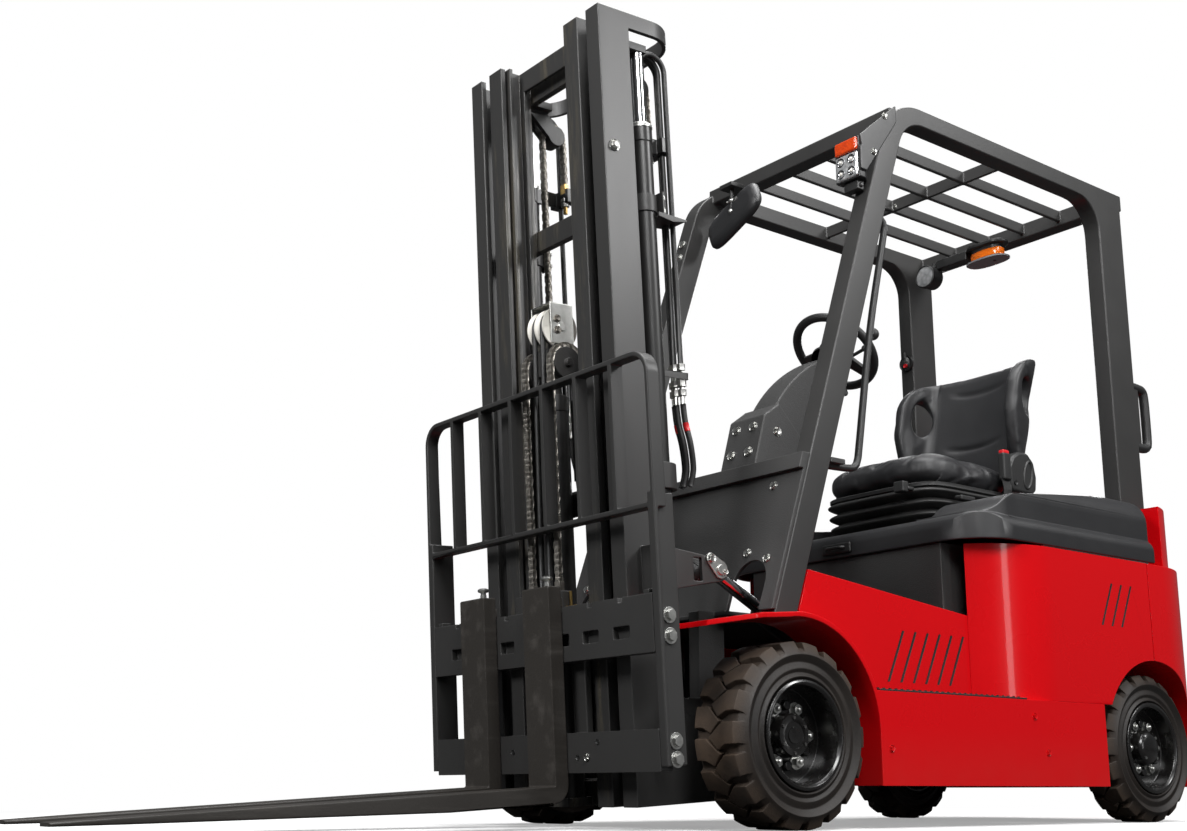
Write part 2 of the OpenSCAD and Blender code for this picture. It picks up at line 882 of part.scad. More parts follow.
module knuckle() {
  yoke_z = eye_h / 2 + run_gap;
  for (s = [-1, 1]) translate([0, 0, s * (yoke_z + yoke_t / 2)]) {
    cylinder(r = eye_r, h = yoke_t, center = true);
    translate([-eye_r, 0, -yoke_t / 2]) cube([2 * eye_r, eye_r + run_gap + yoke_t, yoke_t]);
  }
  rod_z(0, 0, kingpin_r, -yoke_z - yoke_t, yoke_z + yoke_t);
  block(-eye_r, eye_r, eye_r + run_gap, eye_r + run_gap + yoke_t, -yoke_z - yoke_t, yoke_z + yoke_t);
  rod_y(0, 0, stub_r, eye_r + run_gap, stub_end);
}

module knuckle_left() {
  color("SlateGray") shifted() translate([-wheelbase, kingpin_y, rear_tyre_r]) knuckle();
}

module knuckle_right() {
  color("SlateGray") shifted() translate([-wheelbase, -kingpin_y, rear_tyre_r]) mirror([0, 1, 0])
      knuckle();
}

// Body

module slots(count, x0, z0, h) {
  lean = h * tan(slot_rake);
  for (i = [0 : count - 1]) translate([x0 - i * slot_step, z0])
    polygon([[0, 0], [slot_w, 0], [slot_w - lean, h], [-lean, h]]);
}

// Side panel between the front pillar and the rear panel
module panel_shape() {
  polygon([
    [panel_front(step_z), step_z - step_t],
    [panel_front(step_z), fender_top],
    [panel_front(fender_top), fender_top],
    [panel_front(panel_z0), panel_z0],
    [panel_x1, panel_z1],
    [panel_x1, step_z - step_t]]);
}

module front_arch() {
  translate([0, arch_z]) circle(r = arch_r);
  translate([-arch_r, 0]) square([2 * arch_r, arch_z]);
}

module side_frames() {
  lower_rear = -wheelbase + rear_arch_rx + panel_gap;
  color("Red") shifted() both() difference() {
    union() {
      side(side_y - side_t, side_y) translate([lower_rear, sill_z]) square([-lower_rear,
          step_z - sill_z]);
      side(panel_y - side_t, side_y) translate([lower_rear, step_z - step_t]) square([-lower_rear,
          step_t]);
      side(panel_y - side_t, panel_y) panel_shape();
      side(fender_in, side_y) fender_shape();
    }
    side(fender_in - over, side_y + over) front_arch();
    pillar_front(seat_gap);
    side(panel_y - slot_d, panel_y + over) slots(side_slots, slot_x0, slot_z0, slot_h);
    // Outer edge of the fender, drawn in toward its tip
    linear_extrude(height = fender_top + over) polygon([
      [taper_x, side_y],
      [fender_x, side_y - taper_w],
      [fender_x + over, side_y - taper_w],
      [fender_x + over, side_y + over],
      [taper_x, side_y + over]]);
  }
}

module fender_shape() {
  difference() {
    translate([0, arch_z]) circle(r = arch_r + fender_t);
    translate([0, arch_z]) circle(r = arch_r);
    translate([0, -arch_r]) square([2 * arch_r, 3 * arch_r]);
    translate([-2 * arch_r, -arch_r]) square([3 * arch_r, arch_z + arch_r]);
  }
  translate([-arch_r - fender_t, sill_z]) square([fender_t, arch_z - sill_z]);
  polygon([
    [0, fender_top - fender_t],
    [0, fender_top],
    [fender_x / 2, fender_top - fender_drop / 3],
    [fender_x, fender_top - fender_drop],
    [fender_x, fender_top - fender_drop - fender_t],
    [fender_x / 2, fender_top - fender_drop / 3 - fender_t]]);
}

module rear_arch() {
  translate([-wheelbase, rear_tyre_r - rear_arch_drop]) circle(r = rear_arch_rx);
  translate([-wheelbase - rear_arch_rx, -over]) square([2 * rear_arch_rx,
      rear_tyre_r - rear_arch_drop + over]);
}

// Plan of a rear panel, flared out from the side panel
module rear_plan() {
  difference() {
    union() {
      translate([flare_x, side_y - flare_r]) circle(r = flare_r);
      translate([-wheelbase, side_y - flare_r]) square([wheelbase + flare_x, flare_r]);
    }
    translate([flare_x, side_y - flare_r]) circle(r = flare_r - rear_panel_t);
    translate([-wheelbase - over, 0]) square([wheelbase + over + flare_x, side_y - rear_panel_t]);
    translate([-2 * wheelbase, -side_y]) square([2 * wheelbase, side_y + panel_y + seat_gap]);
  }
}

module rear_panels() {
  color("Red") shifted() both() difference() {
    translate([0, 0, step_z + seat_gap]) linear_extrude(height = rear_panel_z1 - step_z - seat_gap)
        rear_plan();
    side(0, side_y + over) rear_arch();
    side(side_y - slot_d, side_y + over) slots(rear_slots, rear_slot_x, rear_slot_z, rear_slot_h);
  }
}

// Plan of the counterweight with round rear corners, from its rear to x = front
module cw_plan(y, front) {
  intersection() {
    translate([-cw_rear, -y]) square([front + cw_rear, 2 * y]);
    union() {
      translate([-cw_rear + cw_corner, -y]) square([cw_rear, 2 * y]);
      translate([-cw_rear, -y + cw_corner]) square([cw_rear, 2 * (y - cw_corner)]);
      for (s = [-1, 1]) translate([-cw_rear + cw_corner, s * (y - cw_corner)]) circle(r = cw_corner);
    }
  }
}

// Side view of the counterweight, cut out over the wheels or over the steer axle
module cw_side() {
  difference() {
    translate([-cw_rear - over, sill_z]) square([cw_rear + over, cw_top]);
    children();
  }
}

module counterweight() {
  color("Red") shifted() difference() {
    intersection() {
      union() {
        translate([0, 0, sill_z]) linear_extrude(height = rear_panel_z1 - sill_z)
          cw_plan(side_y, -wheelbase - panel_gap);
        translate([0, 0, rear_panel_z1 - over]) linear_extrude(height = cw_top - rear_panel_z1 + over)
          cw_plan(cw_upper_y, cw_front);
      }
      union() {
        side(-well_in, well_in) cw_side()
          translate([-wheelbase - rear_arch_rx / 2, 0]) square([wheelbase, rear_tyre_r + axle_pad_h]);
        both() side(well_in, side_y + over) cw_side() rear_arch();
      }
    }
    // Tow jaw and the bore for its pin
    block(-cw_rear - over, -cw_rear + tow_d, -tow_w / 2, tow_w / 2, tow_z - tow_gap / 2,
        tow_z + tow_gap / 2);
    rod_z(-cw_rear + tow_d / 2, 0, tow_pin_r, sill_z - over, tow_z + tow_w);
  }
}

// Places things against the front faces of the raked pillars
module raked() {
  multmatrix([[1, 0, -tan(pillar_rake), pillar_x0 + tan(pillar_rake) * pillar_z0],
    [0, 1, 0, 0], [0, 0, 1, 0]]) children();
}

module cowl() {
  color("DimGray") shifted() {
    difference() {
      union() {
        raked() block(seat_gap, cowl_t, -guard_y, guard_y, floor_z, cowl_top);
        raked() block(seat_gap, lip_d, -guard_y, guard_y, cowl_top - lip_h, cowl_top);
        block(dash_x - dash_d, dash_x, -guard_y, guard_y, cowl_top - cowl_t, cowl_top);
        block(floor_rear, floor_front, -floor_y, floor_y, floor_z, floor_z + floor_t);
      }
      both() side_cut_hole();
      both() pillar_front(seat_gap);
    }
    // Panels below the hood
    difference() {
      block(-wheelbase - panel_gap, floor_rear, -inner_y, inner_y, floor_z, hood_z0 - seat_gap);
      block(-wheelbase - over, floor_rear - inner_t, -inner_y + inner_t, inner_y - inner_t, 0,
          hood_z0 + over);
      both() side(well_in, side_y + over) rear_arch();
    }
    // Tray below the battery
    block(battery_x - battery_l, battery_x, -side_y + side_t + seat_gap, side_y - side_t - seat_gap,
      battery_z - floor_t - seat_gap, battery_z - seat_gap);
    // Hangers between the floor and the drive axle
    both() block(-hanger_w / 2, hanger_w / 2, hanger_y, hanger_y + hanger_t,
      front_tyre_r + axle_tube_r + seat_gap, floor_z + floor_t);
    both() block(floor_front - over, hanger_w / 2, hanger_y, hanger_y + hanger_t, floor_z,
        floor_z + floor_t);
    // Lugs and pins that hold the tilt barrels
    both() {
      for (k = [-1, 1]) translate([0, tilt_y + k * (tilt_eye_w / 2 + run_gap + lug_t / 2), 0])
        block(tilt_x - tilt_eye_r, tilt_x + tilt_eye_r - 2 * run_gap, -lug_t / 2, lug_t / 2,
          tilt_z - tilt_eye_r, floor_z);
      rod_y(tilt_x, tilt_z, tilt_pin_r, tilt_y - tilt_eye_w / 2 - run_gap - lug_t,
        tilt_y + tilt_eye_w / 2 + run_gap + lug_t);
    }
  }
}

// Room for a tilt cylinder in the cowl's front panel and in the floor
module side_cut_hole() {
  hole_z = floor_z + floor_t + tilt_hole_h - tilt_hole_r;
  translate([floor_front - tilt_slot, tilt_y, 0]) {
    translate([0, 0, hole_z]) rotate([0, quarter, 0]) cylinder(r = tilt_hole_r, h = 2 * tilt_slot);
    translate([0, -tilt_hole_r, floor_z - over]) cube([2 * tilt_slot, 2 * tilt_hole_r,
        hole_z - floor_z + over]);
  }
}

// Hood

// Plan of the hood with round front corners, drawn in by g
module hood_plan(g) {
  corner = hood_corner - g;
  rear = cw_front + panel_gap + g;
  intersection() {
    translate([rear, -hood_y + g]) square([hood_x0 - g - rear, 2 * (hood_y - g)]);
    union() {
      translate([rear, -hood_y + g]) square([hood_x0 - g - corner - rear, 2 * (hood_y - g)]);
      translate([rear, -hood_y + hood_corner]) square([hood_x0 - g - rear, 2 * (hood_y - hood_corner)]);
      for (s = [-1, 1]) translate([hood_x0 - hood_corner, s * (hood_y - hood_corner)]) circle(r = corner);
    }
  }
}

// Cross-section with rounded upper corners, half as wide as y and as high as z
module rounded_section(y, z, r) {
  translate([-y, 0]) square([2 * y, z - r]);
  translate([-y + r, 0]) square([2 * (y - r), z]);
  for (s = [-1, 1]) translate([s * (y - r), z - r]) circle(r = r);
}

// Side view of the hood's low front part, its top edge rounded
module deck_side(g) {
  rear = cw_front;
  translate([rear, hood_z0 - over]) square([hood_x0 - g - rear, deck_z - hood_round - hood_z0 + over]);
  translate([rear, hood_z0 - over]) square([hood_x0 - hood_round - rear, deck_z - g - hood_z0 + over]);
  translate([hood_x0 - hood_round, deck_z - hood_round]) circle(r = hood_round - g);
}

// Side view of the hump: an S-shaped rise, a gentle slope to the peak and a fall to the rear
module hump_side(g) {
  rise = hump_z - deck_z;
  run = hood_rise_x - hump_x;
  bend = (rise * rise + run * run) / (4 * rise);
  polygon([
    [cw_front, hood_z0],
    [cw_front, hood_top - hood_round - g],
    [hump_peak_x - hood_corner, hood_top - g],
    [hump_peak_x, hood_top - g],
    [hump_x, hump_z - g],
    [hump_x, hood_z0]]);
  intersection() {
    translate([hump_x, hump_z - bend - g]) circle(r = bend);
    translate([hump_x, hood_z0]) square([run / 2, hump_z - hood_z0]);
  }
  difference() {
    translate([hump_x + run / 2, hood_z0]) square([run / 2, hump_z - hood_z0 - g]);
    translate([hood_rise_x, deck_z + bend - g]) circle(r = bend);
  }
}

module hood() {
  color("Black") shifted() difference() {
    union() {
      hood_body(0);
      hump_body(0);
    }
    hood_body(hood_t);
    hump_body(hood_t);
    block(seat_well_x, hood_x0 + over, -seat_well_y, seat_well_y, deck_z, hood_top + over);
    // Room for the rear pillars
    both() block(rear_pillar_x - rear_pillar_d - panel_gap, rear_pillar_x + panel_gap,
      guard_y - tube_y - panel_gap, side_y, rear_panel_z1 - over, hood_top + over);
  }
}

module hood_body(g) {
  intersection() {
    translate([0, 0, hood_z0 - g]) linear_extrude(height = hood_top - hood_z0) hood_plan(g);
    side(-hood_y, hood_y) deck_side(g);
    translate([-2 * wheelbase, 0, 0]) rotate([quarter, 0, quarter]) linear_extrude(height = 2 * wheelbase)
      rounded_section(hood_y - g, deck_z - g, hood_round);
  }
}

module hump_body(g) {
  for (s = [-1, 1]) intersection() {
    translate([0, 0, hood_z0 - g]) linear_extrude(height = hood_top - hood_z0 + g) hood_plan(hump_in + g);
    side(s > 0 ? seat_well_y + g : -hood_y, s > 0 ? hood_y : -seat_well_y - g) hump_side(g);
    translate([-2 * wheelbase, 0, 0]) rotate([quarter, 0, quarter]) linear_extrude(height = 2 * wheelbase)
      rounded_section(hood_y - hump_in - g, hood_top - g, 2 * hood_round);
  }
}

module battery() {
  color("SlateGray") shifted()
    block(battery_x - battery_l, battery_x, -battery_w / 2, battery_w / 2, battery_z,
        battery_z + battery_h);
}

// Overhead guard

// Straight pillar, leaning back, from its foot to the roof rail; grown by g to make room for it
module pillar_front(g) {
  multmatrix([[1, 0, -tan(pillar_rake), pillar_x0 + tan(pillar_rake) * pillar_z0],
    [0, 1, 0, 0], [0, 0, 1, 0]])
    block(-tube_x - g, g, guard_y - tube_y - g, guard_y + g, pillar_z0 - g, roof_top - bend_r + g);
}

// Outline of one side of the guard
module guard_outer() {
  polygon([
    [pillar_x0, pillar_z0],
    [bend_cx + bend_r * cos(pillar_rake), roof_top - bend_r + bend_r * sin(pillar_rake)],
    [bend_cx, roof_top],
    [roof_rear, roof_top],
    [roof_rear, roof_z0],
    [rear_pillar_x - rear_pillar_d, roof_z0],
    [rear_pillar_x - rear_pillar_d, rear_pillar_z],
    [rear_pillar_x, rear_pillar_z],
    [pillar_x0 - tube_x, pillar_z0]]);
  translate([bend_cx, roof_top - bend_r]) circle(r = bend_r);
}

// Side opening of the guard, rounded at its upper corners
module guard_inner() {
  polygon([
    [pillar_x0 - tube_x + over * tan(pillar_rake), pillar_z0 - over],
    [bend_in_cx + bend_in_r * cos(pillar_rake), roof_z0 - bend_in_r + bend_in_r * sin(pillar_rake)],
    [bend_in_cx, roof_z0],
    [rear_pillar_x + gusset, roof_z0],
    [rear_pillar_x, roof_z0 - gusset],
    [rear_pillar_x, rear_pillar_z - over]]);
  translate([bend_in_cx, roof_z0 - bend_in_r]) circle(r = bend_in_r);
  translate([rear_pillar_x + gusset, roof_z0 - gusset]) circle(r = gusset);
}

module overhead_guard() {
  color("DimGray") shifted() {
    both() side(guard_y - tube_y, guard_y) difference() {
      guard_outer();
      guard_inner();
    }
    // Front, middle and rear bars
    block(roof_front - tube_y, roof_front, -guard_y + tube_y - over, guard_y - tube_y + over, roof_z0,
        roof_top - roof_step);
    block(cross_x - slat_w, cross_x, -guard_y + tube_y, guard_y - tube_y, roof_top - slat_h, roof_top);
    block(roof_rear, roof_rear + tube_y, -guard_y + tube_y, guard_y - tube_y, roof_z0, roof_top);
    slat_step = 2 * (guard_y - tube_y) / (slats + 1);
    for (i = [1 : slats]) translate([0, -guard_y + tube_y + i * slat_step, 0])
      block(roof_rear + tube_y, roof_front - tube_y, -slat_w / 2, slat_w / 2, roof_top - slat_h,
          roof_top);
  }
}

// Seat and controls

module seat_base() {
  fold_h = (cushion_z0 - deck_z) / (2 * folds);
  color("Black") shifted() for (i = [0 : 2 * folds - 1]) {
    f = (i % 2) * fold_d;
    block(seat_x0 - (cushion_l + bellows_l) / 2 - f, seat_x0 - (cushion_l - bellows_l) / 2 + f,
      -bellows_y - f, bellows_y + f, deck_z + i * fold_h, deck_z + (i + 1) * fold_h);
  }
}

module seat_cushion() {
  color("Black") shifted()
    block(seat_x0 - cushion_l, seat_x0, -cushion_y, cushion_y, cushion_z0, cushion_z0 + cushion_h);
}

module seat_back() {
  color("Black") shifted() translate([seat_x0 - cushion_l - seat_gap, 0, back_z0])
    rotate([0, -back_lean, 0]) translate([-back_t, 0, 0]) rotate([quarter, 0, quarter])
    linear_extrude(height = back_t) polygon([
      [-back_top_y, 0],
      [-back_y, back_h / 3],
      [-back_y, back_h * 2 / 3],
      [-back_top_y, back_h],
      [back_top_y, back_h],
      [back_y, back_h * 2 / 3],
      [back_y, back_h / 3],
      [back_top_y, 0]]);
}

module steering_column() {
  color("DimGray") shifted() {
    side(-col_w / 2, col_w / 2) column_box();
    side(-neck_w / 2, neck_w / 2) column_neck();
    translate([wheel_x, 0, wheel_z]) rotate([0, -wheel_lean, 0])
      translate([0, 0, -wheel_r]) cylinder(r = hub_r / 2, h = wheel_r - wheel_rim - seat_gap);
  }
}

// Side view of the box on the dash, its front leaning back
module column_box() {
  top_x = col_x0 - (col_box_z - cowl_top) * tan(col_lean);
  polygon([
    [col_x0, cowl_top + seat_gap],
    [top_x, col_box_z],
    [top_x - col_slope, col_box_z + col_slope * cos(quarter / 2)],
    [top_x - col_box_d, col_box_z - col_slope],
    [col_x0 - col_box_d, cowl_top + seat_gap]]);
}

// Side view of the bent neck, a stretch of a ring
module column_neck() {
  reach = 2 * neck_r;
  translate([neck_x, neck_z]) intersection() {
    difference() {
      circle(r = neck_r);
      circle(r = neck_r - neck_t);
    }
    polygon([
      [0, 0],
      [reach * cos(quarter / 4), reach * sin(quarter / 4)],
      [reach * cos(neck_end), reach * sin(neck_end)]]);
  }
}

// Three-spoke wheel with a hub cap and a turning knob
module steering_wheel() {
  color("Black") shifted() translate([wheel_x, 0, wheel_z]) rotate([0, -wheel_lean, 0]) {
    rotate_extrude() translate([wheel_r - wheel_rim, 0]) circle(r = wheel_rim);
    for (a = [quarter / 3, half_turn - quarter / 3, half_turn + quarter]) rotate(a)
      translate([0, 0, -wheel_rim / 2]) linear_extrude(height = wheel_rim) polygon([
        [0, -hub_r / 2],
        [wheel_r - wheel_rim, -wheel_rim],
        [wheel_r - wheel_rim, wheel_rim],
        [0, hub_r / 2]]);
    translate([0, 0, -wheel_rim]) cylinder(r = hub_r, h = 2 * wheel_rim);
    translate([0, wheel_r - wheel_rim, 0]) {
      cylinder(r = wheel_rim / 2, h = 3 * wheel_rim);
      translate([0, 0, 3 * wheel_rim]) sphere(r = knob_r);
    }
  }
}

// Fittings

// Plate with rounded ends, lying flat, h thick
module rounded_plate(l, w, h) {
  translate([-(l - w) / 2, -w / 2, 0]) cube([l - w, w, h]);
  for (s = [-1, 1]) translate([s * (l - w) / 2, 0, 0]) cylinder(r = w / 2, h = h);
}

// Head lamp on its bracket, beacon and work lamp under the roof's rear bar
module lamps() {
  color("Silver") shifted() {
    head_lamp();
    translate([roof_rear + beacon_in, -beacon_r, roof_z0 - beacon_h]) {
      translate([0, 0, beacon_h - slat_w - seat_gap]) rotate(quarter) rounded_plate(4 * beacon_r,
          2 * beacon_r, slat_w);
      rotate(quarter) rounded_plate(3 * beacon_r, 2 * beacon_r - 2 * slat_w, beacon_h - slat_w);
    }
    translate([roof_rear + beacon_in, -work_lamp_y, roof_z0 - beacon_h]) {
      rotate([0, quarter, 0]) cylinder(r = beacon_r, h = beacon_in / 2);
      translate([0, 0, beacon_r / 2]) cylinder(r = grab_r, h = beacon_h - beacon_r / 2 - seat_gap);
    }
  }
}

// Housing with sloped sides on a plate along the roof's side rail
module head_lamp() {
  front = lamp_x + lamp_h / 2 * tan(pillar_rake);
  translate([0, 0, lamp_z - lamp_h / 2]) linear_extrude(height = lamp_h) polygon([
    [front + seat_gap, guard_y - lamp_w + lamp_d / 3],
    [front + seat_gap, guard_y - lamp_d / 3],
    [front + lamp_d / 2, guard_y],
    [front + lamp_d, guard_y],
    [front + lamp_d, guard_y - lamp_w],
    [front + lamp_d / 2, guard_y - lamp_w]]);
  side(guard_y + seat_gap, guard_y + slat_w / 2) polygon([
    [front + lamp_d / 2, lamp_z - lamp_h / 3],
    [front + lamp_d, lamp_z + lamp_h / 2],
    [lamp_x - lamp_w, roof_z0 + roof_h / 2],
    [lamp_x - lamp_w, roof_z0 - roof_h / 2]]);
  block(front + lamp_d / 2, front + lamp_d, guard_y - over, guard_y + slat_w / 2, lamp_z - lamp_h / 3,
      lamp_z + lamp_h / 4);
}

// Convex mirror on an arm below the roof's front bar
module rear_mirror() {
  bulge_r = (mirror_w * mirror_w / 4 + mirror_t * mirror_t) / (2 * mirror_t);
  color("Black") shifted() translate([roof_front - tube_y / 2, mirror_y, roof_z0 - mirror_drop]) {
    cylinder(r = grab_r, h = mirror_drop - seat_gap);
    intersection() {
      translate([mirror_t - bulge_r, 0, -mirror_h]) cylinder(r = bulge_r, h = 2 * mirror_h);
      translate([-mirror_t / 2, 0, 0]) rotate([0, quarter, 0]) rotate(quarter)
        rounded_plate(mirror_w, mirror_h, 2 * mirror_t);
    }
  }
}

// Flat grips behind the rear pillars and a grab tube behind the left front pillar
module grab_handles() {
  grip_x = rear_pillar_x - rear_pillar_d - seat_gap;
  grip_y = guard_y - tube_y / 2;
  color("Black") shifted() {
    both() side(grip_y - grab_r, grip_y + grab_r) translate([grip_x - grab_out, grip_z]) difference() {
      square([grab_out, grip_h]);
      translate([grab_r, 2 * grab_r]) square([grab_out - 2 * grab_r, grip_h - 4 * grab_r]);
    }
    translate([panel_front(grab_z), grip_y, grab_z]) rotate([0, -pillar_rake, 0]) grab_tube();
  }
}

// Tube with a bend at each end that stands on the face x = 0
module grab_tube() {
  turn_r = 2 * grab_r;
  translate([-grab_out, 0, turn_r]) cylinder(r = grab_r, h = grab_h - 2 * turn_r);
  translate([0, 0, grab_h / 2]) for (s = [0, 1]) mirror([0, 0, s])
    translate([turn_r - grab_out, 0, -grab_h / 2]) {
      rotate([0, quarter, 0]) cylinder(r = grab_r, h = grab_out - turn_r);
      translate([0, 0, turn_r]) rotate([quarter, 0, 0]) rotate(half_turn)
        rotate_extrude(angle = quarter) translate([turn_r, 0]) circle(r = grab_r);
    }
}

// Mast

// A rail with its web outside, open to the middle
module channel(y_out, w, u0, d, t) {
  difference() {
    block(u0, u0 + d, y_out - w, y_out, rail_foot, rail_top);
    block(u0 + t, u0 + d - t, y_out - w - over, y_out - t, rail_foot - over, rail_top + over);
  }
}

// A tie band that reaches round behind the mast, seen from above
module band(w0, h, u, r) {
  translate([0, 0, w0]) linear_extrude(height = h) intersection() {
    difference() {
      band_plan(u, r, 0);
      band_plan(u, r, hoop_t);
    }
    translate([u - over, -outer_y]) square([rail_back + over - u, 2 * outer_y]);
  }
}

module band_plan(u, corner, t) {
  y = outer_y - t;
  r = corner - t;
  u0 = u + t;
  translate([u0 + r, -y]) square([rail_back + t - u0 - r, 2 * y]);
  translate([u0, -y + r]) square([r, 2 * (y - r)]);
  for (s = [-1, 1]) translate([u0 + r, s * (y - r)]) circle(r = r);
}

module tilt_lug() {
  for (k = [-1, 1]) side(tilt_y + k * (tilt_eye_w / 2 + run_gap + lug_t / 2) - lug_t / 2,
    tilt_y + k * (tilt_eye_w / 2 + run_gap + lug_t / 2) + lug_t / 2) lug_shape();
  rod_y(pin_u, pin_w, tilt_pin_r, tilt_y - tilt_eye_w / 2 - run_gap - lug_t,
      tilt_y + tilt_eye_w / 2 + run_gap + lug_t);
  block(rail_back, rail_back + rail_d / 2, outer_y, tilt_y + tilt_eye_w / 2 + run_gap + lug_t,
    pin_w - 2 * lug_r, pin_w + 2 * lug_r);
}

module lug_shape() {
  translate([pin_u, pin_w]) circle(r = lug_r);
  difference() {
    polygon([
      [pin_u, pin_w + lug_r],
      [rail_back + rail_d / 2, pin_w + 2 * lug_r],
      [rail_back + rail_d / 2, pin_w - 2 * lug_r],
      [pin_u, pin_w - lug_r]]);
    translate([pin_u + 2 * lug_r, pin_w - lug_r]) square([lug_r, 2 * lug_r]);
  }
}

module saddle() {
  difference() {
    union() {
      rod_y(0, 0, saddle_r, outer_y - saddle_t, outer_y);
      block(0, rail_back, outer_y - saddle_t, outer_y, rail_foot, saddle_r);
    }
    rod_y(0, 0, axle_tube_r + pin_gap, outer_y - 2 * saddle_t, outer_y + over);
  }
}

module mast_outer() {
  color("DimGray") in_mast() {
    both() {
      channel(outer_y, outer_w, rail_back, rail_d, rail_t);
      saddle();
      tilt_lug();
    }
    band(rail_top - hoop_h, hoop_h, hoop_u, hoop_r);
    band(tie_w, hoop_h * 3 / 2, tie_u, tie_r);
    block(axle_tube_r + 2 * run_gap + cross_t, chain_u + cross_t, -outer_y + saddle_t, outer_y - saddle_t,
      rail_foot, rail_foot + cross_h);
  }
}

module lift_barrels() {
  color("DimGray") in_mast() both() {
    difference() {
      union() {
        rod_z(lift_u, lift_y, lift_r, saddle_r + seat_gap, lift_top);
        rod_z(lift_u, lift_y, lift_r + gland_r, lift_top - gland_h, lift_top);
      }
      rod_z(lift_u, lift_y, lift_rod_r + pin_gap, saddle_r + cross_t, lift_top + over);
    }
    // Fixed end of the rear chain
    block(chain_u - chain_wheel_r - chain_t / 2 - rail_t, chain_u - chain_wheel_r + chain_t / 2,
        chain_y - chain_w, lift_y,
      anchor_w - gland_h - rail_t, anchor_w - rail_t);
    block(chain_u - chain_wheel_r, lift_u, lift_y - lift_r, lift_y - lift_rod_r - run_gap,
        anchor_w - gland_h - rail_t, anchor_w - rail_t);
  }
}

module mast_middle() {
  color("DimGray") in_mast() {
    both() {
      channel(middle_y, middle_w, rail_back, rail_d, rail_t);
      // Rollers that run in the outer rails
      rod_y(roller_u, rail_foot + 3 * roller_r, roller_r, outer_y - outer_w + run_gap,
          outer_y - rail_t - run_gap);
      rod_y(roller_u, rail_foot + 3 * roller_r, roller_r / 2, middle_y - rail_t / 2,
          outer_y - outer_w + 2 * run_gap);
      // Arms that rest on the side lift rods
      block(lift_u - lift_rod_r, rail_back - 2 * run_gap, middle_y - middle_w,
          lift_y + lift_rod_r + run_gap,
        rail_top - top_cross_h, rail_top - top_cross_h + cross_t);
      // Rear chain wheels on their brackets
      rod_y(chain_u, chain_wheel_w, chain_wheel_r - chain_t / 2, chain_y - chain_w / 2,
          chain_y + chain_w / 2);
      for (s = [-1, 1]) side(chain_y + s * (chain_w / 2 + hoop_t / 2) - hoop_t / 2,
        chain_y + s * (chain_w / 2 + hoop_t / 2) + hoop_t / 2) chain_cheek();
    }
    block(rail_back - cross_t, rail_back, -middle_y, middle_y, rail_top - top_cross_h, rail_top - rail_t);
    block(rail_back - cross_t, rail_back, -middle_y, middle_y, cross_w2, cross_w2 + cross_h);
    block(rail_back - cross_t, rail_back, -middle_y, middle_y, rail_foot, rail_foot + cross_t);
  }
}

module chain_cheek() {
  translate([chain_u, chain_wheel_w]) circle(r = chain_wheel_r - chain_t / 2);
  polygon([
    [chain_u - chain_wheel_r / 2, chain_wheel_w],
    [rail_back - cross_t, rail_top - rail_t],
    [rail_back, rail_top - rail_t],
    [rail_back, rail_top - top_cross_h],
    [chain_u + chain_wheel_r / 2, chain_wheel_w - chain_wheel_r / 2]]);
}

module lift_rods() {
  color("Silver") in_mast() both()
    rod_z(lift_u, lift_y, lift_rod_r, saddle_r + cross_t + over, rail_top - top_cross_h - seat_gap);
}

module mast_inner() {
  color("DimGray") in_mast() {
    both() {
      difference() {
        block(inner_rail_u, inner_rail_u + inner_rail_d, inner_rail_y - inner_rail_w, inner_rail_y,
            rail_foot, rail_top);
        for (k = [0, 1]) block(inner_rail_u + inner_rail_t, inner_rail_u + inner_rail_d - inner_rail_t,
          inner_rail_y - inner_rail_w + k * (inner_rail_w + inner_rail_t) / 2 - over * (1 - k),
          inner_rail_y - (1 - k) * (inner_rail_w + inner_rail_t) / 2 + over * k,
          rail_foot - over, rail_top + over);
      }
      // Moving end of the rear chain, carried round the back of the middle rail
      block(chain_u + chain_wheel_r - chain_t / 2, inner_rail_u + inner_rail_t, arm_y - arm_t, arm_y,
        rail_foot + 2 * cross_t, rail_foot + 4 * cross_t);
      block(chain_u + chain_wheel_r - chain_t / 2, chain_u + chain_wheel_r + chain_t, arm_y - arm_t,
          chain_y + chain_w / 2,
        rail_foot + 2 * cross_t, rail_foot + 4 * cross_t);
      block(inner_rail_u, inner_rail_u + inner_rail_t, arm_y - arm_t, inner_rail_y - inner_rail_w / 2,
        rail_foot + 2 * cross_t, rail_foot + 4 * cross_t);
    }
    for (w = [rail_foot, free_anchor_w - cross_h, rail_top - cross_h])
      block(inner_rail_u, inner_rail_u + inner_rail_t, -inner_rail_y + inner_rail_w / 2,
          inner_rail_y - inner_rail_w / 2,
        w, w + cross_h);
    // Foot of the free lift cylinder
    block(inner_rail_u, free_u + free_r, -free_r, free_r, rail_foot, rail_foot + cross_t);
  }
}

module free_barrel() {
  color("DimGray") in_mast() difference() {
    union() {
      rod_z(free_u, 0, free_r, rail_foot + cross_t, free_top);
      rod_z(free_u, 0, free_r + gland_r, free_top - gland_h, free_top);
    }
    rod_z(free_u, 0, free_rod_r + pin_gap, rail_foot + 2 * cross_h, free_top + over);
  }
}

